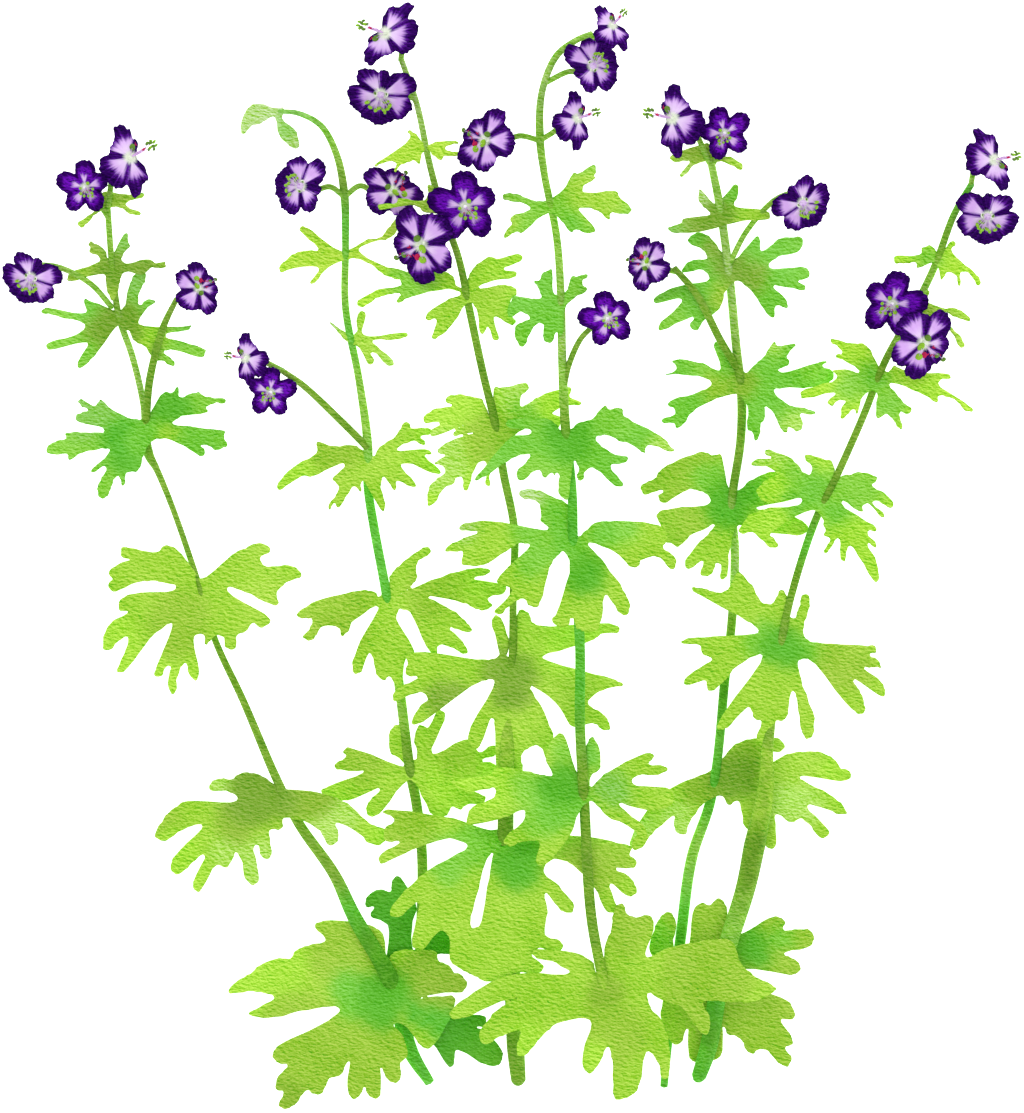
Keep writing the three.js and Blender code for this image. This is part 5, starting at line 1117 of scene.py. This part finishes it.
# Marks over each kind's face: degrees from the bearing, share of the radius, height over
# the face in shares of the radius, length, width, degrees the long side is turned, colour.
bloomMarks = {
    "side": [(47, 0.29, 0.06, 0.2, 0.12, 60, "antherOlive"),
        (36, 0.38, 0.06, 0.07, 0.04, 130, "pistilRed"),
        (40, 0.42, 0.05, 0.05, 0.03, 60, "pistilRed"),
        (9, 0.6, 0.55, 0.13, 0.07, 20, "antherOlive"),
        (5, 0.68, 0.58, 0.13, 0.07, 0, "antherOlive"), (3, 0.78, 0.6, 0.14, 0.06, 20, "antherLime"),
        (-5, 0.6, 0.5, 0.13, 0.07, 10, "antherLime"),
        (-4, 0.7, 0.52, 0.15, 0.07, -15, "antherOlive"),
        (-5, 0.78, 0.54, 0.12, 0.06, 20, "antherLime"),
        (-11, 0.69, 0.5, 0.11, 0.06, 40, "antherOlive"),
        (9, 0.72, 0.6, 0.1, 0.05, -30, "antherLime"),
        (-8, 0.55, 0.48, 0.09, 0.05, 60, "antherOlive")],
    "cup": [(41, 0.27, 0.1, 0.15, 0.07, 110, "antherLime"),
        (24, 0.24, 0.1, 0.12, 0.06, 60, "antherLime"),
        (39, 0.4, 0.12, 0.15, 0.09, 150, "antherLime"),
        (26, 0.44, 0.12, 0.13, 0.08, 110, "antherLime"),
        (12, 0.44, 0.13, 0.15, 0.08, 60, "antherLime"),
        (13, 0.51, 0.12, 0.1, 0.06, 20, "antherLime"),
        (352, 0.38, 0.13, 0.15, 0.08, 110, "antherLime"),
        (342, 0.45, 0.12, 0.14, 0.08, 150, "antherLime"),
        (320, 0.46, 0.12, 0.14, 0.08, 60, "antherLime"),
        (300, 0.43, 0.12, 0.18, 0.08, 110, "antherLime"),
        (95, 0.17, 0.02, 0.18, 0.1, 0, "eyeWhite"), (258, 0.14, 0.02, 0.2, 0.12, 0, "eyeWhite"),
        (258, 0.16, 0.045, 0.09, 0.05, 20, "antherOlive"),
        (93, 0.16, 0.04, 0.08, 0.035, 0, "antherOlive"),
        (205, 0.16, 0.02, 0.12, 0.07, 40, "eyeWhite")],
    "open": [(67, 0.4, 0.08, 0.19, 0.16, 30, "antherLime"),
        (82, 0.12, 0.1, 0.26, 0.13, 90, "antherLime"),
        (270, 0.19, 0.1, 0.2, 0.14, 10, "antherOlive"),
        (44, 0.33, 0.07, 0.18, 0.15, 60, "pistilRed"),
        (0, 0.52, 0.1, 0.16, 0.09, 90, "antherOlive"),
        (357, 0.73, 0.06, 0.16, 0.1, 110, "antherOlive"),
        (16, 0.4, 0.06, 0.1, 0.035, 100, "pistilRed"), (8, 0.45, 0.06, 0.1, 0.03, 10, "pistilRed"),
        (342, 0.32, 0.06, 0.12, 0.04, 150, "pistilRed"),
        (26, 0.34, 0.06, 0.09, 0.04, 100, "pistilRed"),
        (353, 0.59, 0.06, 0.05, 0.04, 30, "pistilRed"),
        (335, 0.3, 0.06, 0.05, 0.035, 60, "pistilRed"),
        (180, 0.1, 0.05, 0.12, 0.06, 60, "eyeWhite")],
    "star": [(37, 0.19, 0.1, 0.14, 0.1, 60, "antherLime"),
        (176, 0.16, 0.08, 0.11, 0.07, 10, "antherLime"),
        (222, 0.26, 0.08, 0.13, 0.11, 120, "antherLime"),
        (250, 0.31, 0.08, 0.12, 0.08, 60, "antherLime"),
        (283, 0.19, 0.09, 0.12, 0.09, 30, "antherLime"),
        (277, 0.34, 0.08, 0.1, 0.08, 60, "antherLime"),
        (306, 0.33, 0.08, 0.15, 0.09, 120, "antherLime"),
        (295, 0.43, 0.08, 0.1, 0.08, 60, "antherLime"),
        (333, 0.3, 0.08, 0.11, 0.09, 10, "antherLime"),
        (290, 0.12, 0.05, 0.1, 0.03, 150, "pistilRed"),
        (313, 0.22, 0.05, 0.1, 0.03, 130, "pistilRed"),
        (258, 0.3, 0.05, 0.08, 0.03, 20, "pistilRed"),
        (240, 0.17, 0.05, 0.09, 0.03, 160, "pistilRed")],
}
# mm, but for shares of the radius, counts and colours; roundness is of anthers and of the rest
middleShape = {
    "base": 1.15, "markBase": 0.55, "knobThick": 1.0, "threadSides": 8, "threadSteps": 9,
    "filament": 0.1, "style": 0.3, "fullness": 1.3, "thickest": 1.1, "threadFrom": 0.2,
    "threadRise": {"star": 0.1, "cup": 0.1, "open": 0.1, "side": 0.02},
    "markSides": 14, "markRows": 7, "roundness": {True: 0.9, False: 0.5},
    "knobSize": {"star": 1.9, "cup": 3.4, "open": 2.2, "side": 2.0},
    "knobPaint": {"star": "white", "cup": "blush", "open": "eyeWhite", "side": "eyeWhite"},
    "styleEnd": (0.52, 0.5), "stigmaAt": (0.43, 0.42), "stigma": (0.13, 0.06, 0.8),
}


def blobSurface(middle, length, width, thick, turn, colour):
    # an ellipsoid: the unit ball's points, stretched and turned about the upright
    sides, rows = middleShape["markSides"], middleShape["markRows"]
    angle = np.arange(sides) / sides * 2 * math.pi
    polar = np.linspace(0, math.pi, rows + 2)[1:-1][:, None]
    along = np.sin(polar) * np.cos(angle) * length / 2
    across = np.sin(polar) * np.sin(angle) * width / 2
    up = np.cos(polar) * thick / 2 + 0 * along
    c, s = math.cos(turn), math.sin(turn)
    ball = np.stack([along * c - across * s, along * s + across * c, up], axis=-1).reshape(-1, 3)
    points = np.vstack([ball, [[0, 0, thick / 2]], [[0, 0, -thick / 2]]]) + middle
    fans = poleFans(len(points), (rows - 1) * sides, sides)
    return surface(points, gridFaces(rows, sides), fans,
                   {"leafColour": np.tile(colour, (len(points), 1))})


def threadSurface(start, end, rise, radius, colour):
    # an arc: the straight way from start to end plus the rise times the sine of pi times the
    # share gone
    share = np.linspace(0, 1, middleShape["threadSteps"])[:, None]
    line = start * (1 - share) + end * share
    line[:, 2] += np.sin(math.pi * share[:, 0]) * rise
    return tubeSurface(line, np.full(len(line), radius), middleShape["threadSides"],
                       {"leafColour": np.tile(colour, (len(line), 1))})


def middleSurfaces(bloom):
    # the knob, the marks over the face with a thread from the knob to each anther, and on a
    # bloom seen from the side its style and stigma
    shape, kind, radius = middleShape, bloom["kind"], bloom["radius"]
    heading = bloom.get("turn", bloom["bearing"])
    side = -1 if bloom.get("mirrored") else 1

    def overFace(turn, reach, height):
        return placed(bloomPlace(bloom, np.array(float(turn)), np.array(float(reach)), height))

    knob = overFace(0, 0, shape["base"])
    knobSize = shape["knobSize"][kind]
    parts = [blobSurface(knob, knobSize, knobSize, shape["knobThick"], 0.0,
                         paint(shape["knobPaint"][kind]))]
    for turn, reach, rise, length, width, twist, name in bloomMarks[kind]:
        anther = name.startswith("anther")
        width = width * (shape["fullness"] if anther else 1)
        at = overFace(turn, reach, shape["markBase"] + rise * radius)
        facing = math.radians(heading + side * twist)
        thick = min(width * radius, shape["thickest"]) * shape["roundness"][anther]
        parts.append(blobSurface(at, length * radius, width * radius, thick, facing, paint(name)))
        if anther and reach > shape["threadFrom"]:
            arc = shape["threadRise"][kind] * radius
            parts.append(threadSurface(knob, at, arc, shape["filament"], paint("filament")))
    if kind == "side":
        end, stigmaAt = (overFace(0, reach, shape["markBase"] + rise * radius)
                         for reach, rise in (shape["styleEnd"], shape["stigmaAt"]))
        parts.append(threadSurface(knob, end, 0, shape["style"], paint("styleLilac")))
        length, width, thick = shape["stigma"]
        parts.append(blobSurface(stigmaAt, length * radius, width * radius, thick,
                                 math.radians(heading), paint("pistilRed")))
    return parts


def addNode(tree, kind, inputs, **settings):
    # a node with its settings, and each input, by name or number, a value or a linked output
    node = tree.nodes.new("ShaderNode" + kind)
    for name, setting in settings.items():
        setattr(node, name, setting)
    for key, value in inputs.items():
        if isinstance(value, bpy.types.NodeSocket):
            tree.links.new(value, node.inputs[key])
        else:
            node.inputs[key].default_value = value
    return node


def timesPlus(tree, value, amount, more):
    inputs = {0: value, 1: amount, 2: more}
    return addNode(tree, "Math", inputs, operation="MULTIPLY_ADD").outputs["Value"]


def ramp(tree, value, low, high, least=0, most=1, eased="SMOOTHSTEP"):
    # the value from least at low to most at high, and no further
    inputs = {"Value": value, "From Min": low, "From Max": high, "To Min": least, "To Max": most}
    return addNode(tree, "MapRange", inputs, interpolation_type=eased).outputs["Result"]


def mixed(tree, low, high, factor):
    # low and high are a colour as three values or an output; the factor is an output
    low, high = (end if isinstance(end, bpy.types.NodeSocket) else (*end, 1) for end in (low, high))
    inputs = {0: factor, 6: low, 7: high}  # 6 and 7 are the colour sockets
    return addNode(tree, "Mix", inputs, data_type="RGBA").outputs[2]


def attribute(tree, name, output):
    return addNode(tree, "Attribute", {}, attribute_name=name).outputs[output]


grainShape = {
    "stretch": (1.0, 1.9, 1.0), "turn": (0, 0, 0.45), "beside": (-0.00013, 0.00085, 0),
    "detail": 2, "roughness": 0.6, "driftScale": 42, "driftSpan": (0.3, 0.7),
    "reliefShadeSpan": (-0.2, 0.2), "dashSpan": (0.34, 0.42), "darkest": (0.12, 0.12, 0.12),
}


def paperGrainAndReliefShade():
    # a soft pressed-paper surface: a fine uneven relief with its light and shade from one side
    # painted in as light and dark flecks, a broad drift of tone, and the bump that goes with them
    shape = grainShape
    group = bpy.data.node_groups.new("PaperGrainAndReliefShade", "ShaderNodeTree")
    for name, kind, value in (("Colour", "Color", None), ("ReliefShade", "Float", 0.2),
                              ("Dash", "Float", 0.2), ("Drift", "Float", 0.1),
                              ("Grain", "Float", 900), ("Pigment", "Vector", (1, 1, 1))):
        made = group.interface.new_socket(name=name, in_out="INPUT",
                                          socket_type="NodeSocket" + kind)
        if value is not None:
            made.default_value = value
    for name, kind in (("Colour", "Color"), ("Height", "Float")):
        group.interface.new_socket(name=name, in_out="OUTPUT", socket_type="NodeSocket" + kind)
    entry = group.nodes.new("NodeGroupInput").outputs
    leave = group.nodes.new("NodeGroupOutput").inputs
    place = addNode(group, "TexCoord", {}).outputs["Object"]

    def fineGrain(move):
        moved = addNode(group, "Mapping", {"Vector": place, "Location": move,
                                           "Rotation": shape["turn"], "Scale": shape["stretch"]})
        inputs = {"Vector": moved.outputs["Vector"], "Scale": entry["Grain"],
                  "Detail": shape["detail"], "Roughness": shape["roughness"]}
        return addNode(group, "TexNoise", inputs).outputs["Fac"]

    def vectorStep(operation, first, second):
        inputs = {0: first, 1: second}
        return addNode(group, "VectorMath", inputs, operation=operation).outputs["Vector"]

    # the same noise half a millimetre up and to the right: the two's difference is the relief
    # as it looks lit from one side, painted into the colour as light and shade
    fine, fineBeside = fineGrain((0, 0, 0)), fineGrain(shape["beside"])
    relief = addNode(group, "Math", {0: fine, 1: fineBeside},
                     operation="SUBTRACT").outputs["Value"]
    broad = addNode(group, "TexNoise", {"Vector": place, "Scale": shape["driftScale"],
                                        "Detail": shape["detail"]}).outputs["Fac"]

    # drift, the relief's painted light and shade, and the dark dashes where the grain is lowest,
    # added up about zero
    tone = 0
    for value, span, most, eased, amount in (
            (broad, "driftSpan", 1, "LINEAR", "Drift"),
            (relief, "reliefShadeSpan", 1, "LINEAR", "ReliefShade"),
            (fine, "dashSpan", 0, "SMOOTHSTEP", "Dash")):
        tone = timesPlus(group, ramp(group, value, *shape[span], -1, most, eased),
                         entry[amount], tone)
    tint = addNode(group, "VectorMath", {0: entry["Pigment"], "Scale": tone}, operation="SCALE")
    factor = vectorStep("MAXIMUM", vectorStep("ADD", tint.outputs["Vector"], (1, 1, 1)),
                        shape["darkest"])
    group.links.new(vectorStep("MULTIPLY", entry["Colour"], factor), leave["Colour"])
    group.links.new(fine, leave["Height"])
    return group


grainGroup = paperGrainAndReliefShade()
bumpDistance = 0.0005  # metres
# each paper's second amount is how strongly its relief's painted light and shade shows
finishes = {
    "leaf": {"roughness": 0.8, "specular": 0.15, "bump": 0.8, "paper": {
        "Grain": 480, "ReliefShade": 0.56, "Dash": 0.12, "Drift": 0.16, "Pigment": (1, 0.45, 2.6)}},
    "middle": {"roughness": 0.7, "specular": 0.15, "bump": 0.2, "paper": {
        "Grain": 900, "ReliefShade": 0.12, "Dash": 0.1, "Drift": 0.05, "Pigment": (1, 1, 1)}},
    "petal": {"roughness": 0.8, "specular": 0.02, "bump": 0.5, "paper": {
        "Grain": 560, "ReliefShade": 0.6, "Dash": 0.5, "Drift": 0.1, "Pigment": (1, 1, 0.8)}},
}


def newLook(name, kind):
    # a matt surface whose colour passes through the paper grain
    shape = finishes[kind]
    look = bpy.data.materials.new(name)
    look.use_nodes = True
    tree = look.node_tree
    finish = tree.nodes["Principled BSDF"].inputs
    finish["Roughness"].default_value = shape["roughness"]
    finish["Specular IOR Level"].default_value = shape["specular"]
    paper = addNode(tree, "Group", shape["paper"], node_tree=grainGroup)
    tree.links.new(paper.outputs["Colour"], finish["Base Color"])
    relief = addNode(tree, "Bump", {"Strength": shape["bump"], "Distance": bumpDistance,
                                    "Height": paper.outputs["Height"]})
    tree.links.new(relief.outputs["Normal"], finish["Normal"])
    return look, tree, paper, finish


patchShape = {"scale": 190, "detail": 4, "swing": 1.3, "span": (0.5, 1.5)}


def greenLook():
    # the green, with its darker shade in small patches; the more reach, the more they cover
    look, tree, paper, _ = newLook("LeafGreen", "leaf")
    place = addNode(tree, "TexCoord", {}).outputs["Object"]
    wander = addNode(tree, "TexNoise", {"Vector": place, "Scale": patchShape["scale"],
                                        "Detail": patchShape["detail"]}).outputs["Fac"]
    reach = timesPlus(tree, wander, patchShape["swing"], attribute(tree, "shadeReach", "Fac"))
    green, shade = (attribute(tree, name, "Color") for name in ("leafColour", "shadeColour"))
    wash = ramp(tree, reach, *patchShape["span"])
    tree.links.new(mixed(tree, green, shade, wash), paper.inputs["Colour"])
    return look


def middleLook():
    look, tree, paper, _ = newLook("BloomMiddle", "middle")
    tree.links.new(attribute(tree, "leafColour", "Color"), paper.inputs["Colour"])
    return look


# Each mask of a petal: how far the streaks sway its border, where it starts and where it is
# full, in tenths of the radius; the streaks' own in shares of their noise.
petalMasks = {
    "streaks": (0.5, 0.68), "glow": (1.3, -0.5, 0.5), "towardsEye": (1.2, 4.5, 7.5),
    "wedge": (0.9, 0.05, 0.95), "eye": (0.8, 7.6, 9.0),
}
streakShape = {"scale": 11, "detail": 3, "swing": 1.6, "rimSway": 1.2}
# Each violet look: how far in from the rim the lively middle starts, and the colours of the
# petal, its lively middle, its streaks, the wedge's outer part and the wedge near the eye.
violets = {
    "PetalOpen": (3.2, (42, 2, 84), (98, 14, 166), (68, 10, 122), (206, 160, 232), (226, 196, 242)),
    "PetalDark": (40, (40, 2, 80), (92, 24, 150), (62, 12, 110), (208, 166, 232), (228, 202, 242)),
}


def petalLook(name):
    # dark violet with livelier streaks along the petal, and where belly is small a livelier
    # middle too; over them a lilac wedge up each petal that ends in streaks, and a pale eye
    look, tree, paper, finish = newLook(name, "petal")
    belly, *colours = violets[name]
    dark, lively, streaked, lilac, pale = (linearColour(colour) for colour in colours)
    streak = addNode(tree, "TexNoise", {
        "Vector": attribute(tree, "swirl", "Vector"), "Scale": streakShape["scale"],
        "Detail": streakShape["detail"]}).outputs["Fac"]
    sway = timesPlus(tree, streak, streakShape["swing"], -streakShape["swing"] / 2)
    wedge, rim, outward = (attribute(tree, key, "Fac")
                           for key in ("wedgeDepth", "rimDepth", "outward"))
    inward = timesPlus(tree, outward, -tenths, tenths)

    def swayed(value, amount, low, high):
        return ramp(tree, timesPlus(tree, sway, amount, value), low, high)

    body = mixed(tree, dark, streaked, ramp(tree, streak, *petalMasks["streaks"]))
    body = mixed(tree, body, lively, swayed(rim, streakShape["rimSway"], 0.5 * belly, belly))
    body = mixed(tree, body, lively, swayed(wedge, *petalMasks["glow"]))
    tree.links.new(body, paper.inputs["Colour"])
    towardsEye = mixed(tree, lilac, pale, swayed(inward, *petalMasks["towardsEye"]))
    face = mixed(tree, paper.outputs["Colour"], towardsEye, swayed(wedge, *petalMasks["wedge"]))
    face = mixed(tree, face, paint("eyeWhite"), swayed(inward, *petalMasks["eye"]))
    tree.links.new(face, finish["Base Color"])
    return look


leafGreen = greenLook()
bloomMiddle = middleLook()
petalOpen, petalDark = petalLook("PetalOpen"), petalLook("PetalDark")

bloomNumber = 0
for stemNumber, (stemName, stem) in enumerate(stems.items()):
    leaves = [leafSurface(stem["path"], leaf, 100 * stemNumber + k)
              for k, leaf in enumerate(stem["leaves"])]
    addPiece(f"{stemName}_leaves", leaves, leafGreen, [stemName])
    stalks = [stalkSurface(stem["path"], stemShape["sides"], stemShape["perSpan"],
                           stemName=stemName, ridge=stemShape["ridge"])]
    stalks += [stalkSurface(path, stemShape["sideSides"], stemShape["sidePerSpan"],
                            ("stemDark", "stemOlive")) for path in stem["side"]]
    stalks += [bloomStalk(bloom) for bloom in stem["blooms"]]
    addPiece(f"{stemName}_stalks", stalks, leafGreen, [stemName])
    for bloom in stem["blooms"]:
        bloomNumber += 1
        label = f"bloom_{bloomNumber:02d}"
        look = petalOpen if bloom["kind"] == "star" else petalDark
        addPiece(f"{label}_corolla", [corollaSurface(bloom, bloomNumber)], look,
                 [f"{label}_petals"])
        addPiece(f"{label}_middle", middleSurfaces(bloom), bloomMiddle,
                 [f"{label}_centre"])
    print(stemName, "built")


# metres, watts and shares; the lens, its sensor in mm, sees seenHeight at distance, which is
# 12 mm over the floor
studio = {
    "floorHalf": 3.0, "floorDrop": 0.0003, "floorTone": (0.95, 0.95, 0.95, 1),
    "floorRoughness": 0.9, "floorSpecular": 0.1, "floorGlow": 1.2, "skyStrength": 0.93,
    "lamps": {"SoftKey": ((-1.2, 1.5, 2.6), 2.4, 15), "SoftFill": ((1.6, -1.2, 2.4), 2.4, 8)},
    "sensor": 36, "distance": 6.0, "seenHeight": 0.50085, "cameraHeight": 6.012, "farthest": 30,
}
white = (1, 1, 1, 1)


def addFloor():
    mesh = bpy.data.meshes.new("Floor")
    size = studio["floorHalf"]
    mesh.from_pydata([(-size, -size, 0), (size, -size, 0), (size, size, 0), (-size, size, 0)],
                     [], [(0, 1, 2, 3)])
    look = bpy.data.materials.new("PaleFloor")
    look.use_nodes = True
    finish = look.node_tree.nodes["Principled BSDF"].inputs
    for key, value in (("Base Color", studio["floorTone"]), ("Roughness", studio["floorRoughness"]),
                       ("Specular IOR Level", studio["floorSpecular"]), ("Emission Color", white),
                       ("Emission Strength", studio["floorGlow"])):
        finish[key].default_value = value
    mesh.materials.append(look)
    floor = bpy.data.objects.new("Floor", mesh)
    floor.location.z = -studio["floorDrop"]
    bpy.context.scene.collection.objects.link(floor)


def addLight(name, place, size, power):
    light = bpy.data.lights.new(name, "AREA")
    light.shape = "DISK"
    light.size = size
    light.energy = power
    lamp = bpy.data.objects.new(name, light)
    lamp.location = place
    lamp.rotation_mode = "QUATERNION"
    lamp.rotation_quaternion = (-Vector(place)).to_track_quat("-Z", "Y")
    bpy.context.scene.collection.objects.link(lamp)


addFloor()
for lampName, (lampPlace, lampSize, lampPower) in studio["lamps"].items():
    addLight(lampName, lampPlace, lampSize, lampPower)
world = bpy.data.worlds.new("Studio")
world.use_nodes = True
sky = world.node_tree.nodes["Background"].inputs
sky["Color"].default_value = white
sky["Strength"].default_value = studio["skyStrength"]
bpy.context.scene.world = world
bpy.context.scene.view_settings.view_transform = "Standard"

lens = bpy.data.cameras.new("Camera")
lens.sensor_width = studio["sensor"]
lens.lens = studio["sensor"] * studio["distance"] / studio["seenHeight"]
lens.clip_end = studio["farthest"]
camera = bpy.data.objects.new("Camera", lens)
camera.location = (*(-plantMiddle * mm), studio["cameraHeight"])
bpy.context.scene.collection.objects.link(camera)
bpy.context.scene.camera = camera
print("floor, light and camera set")
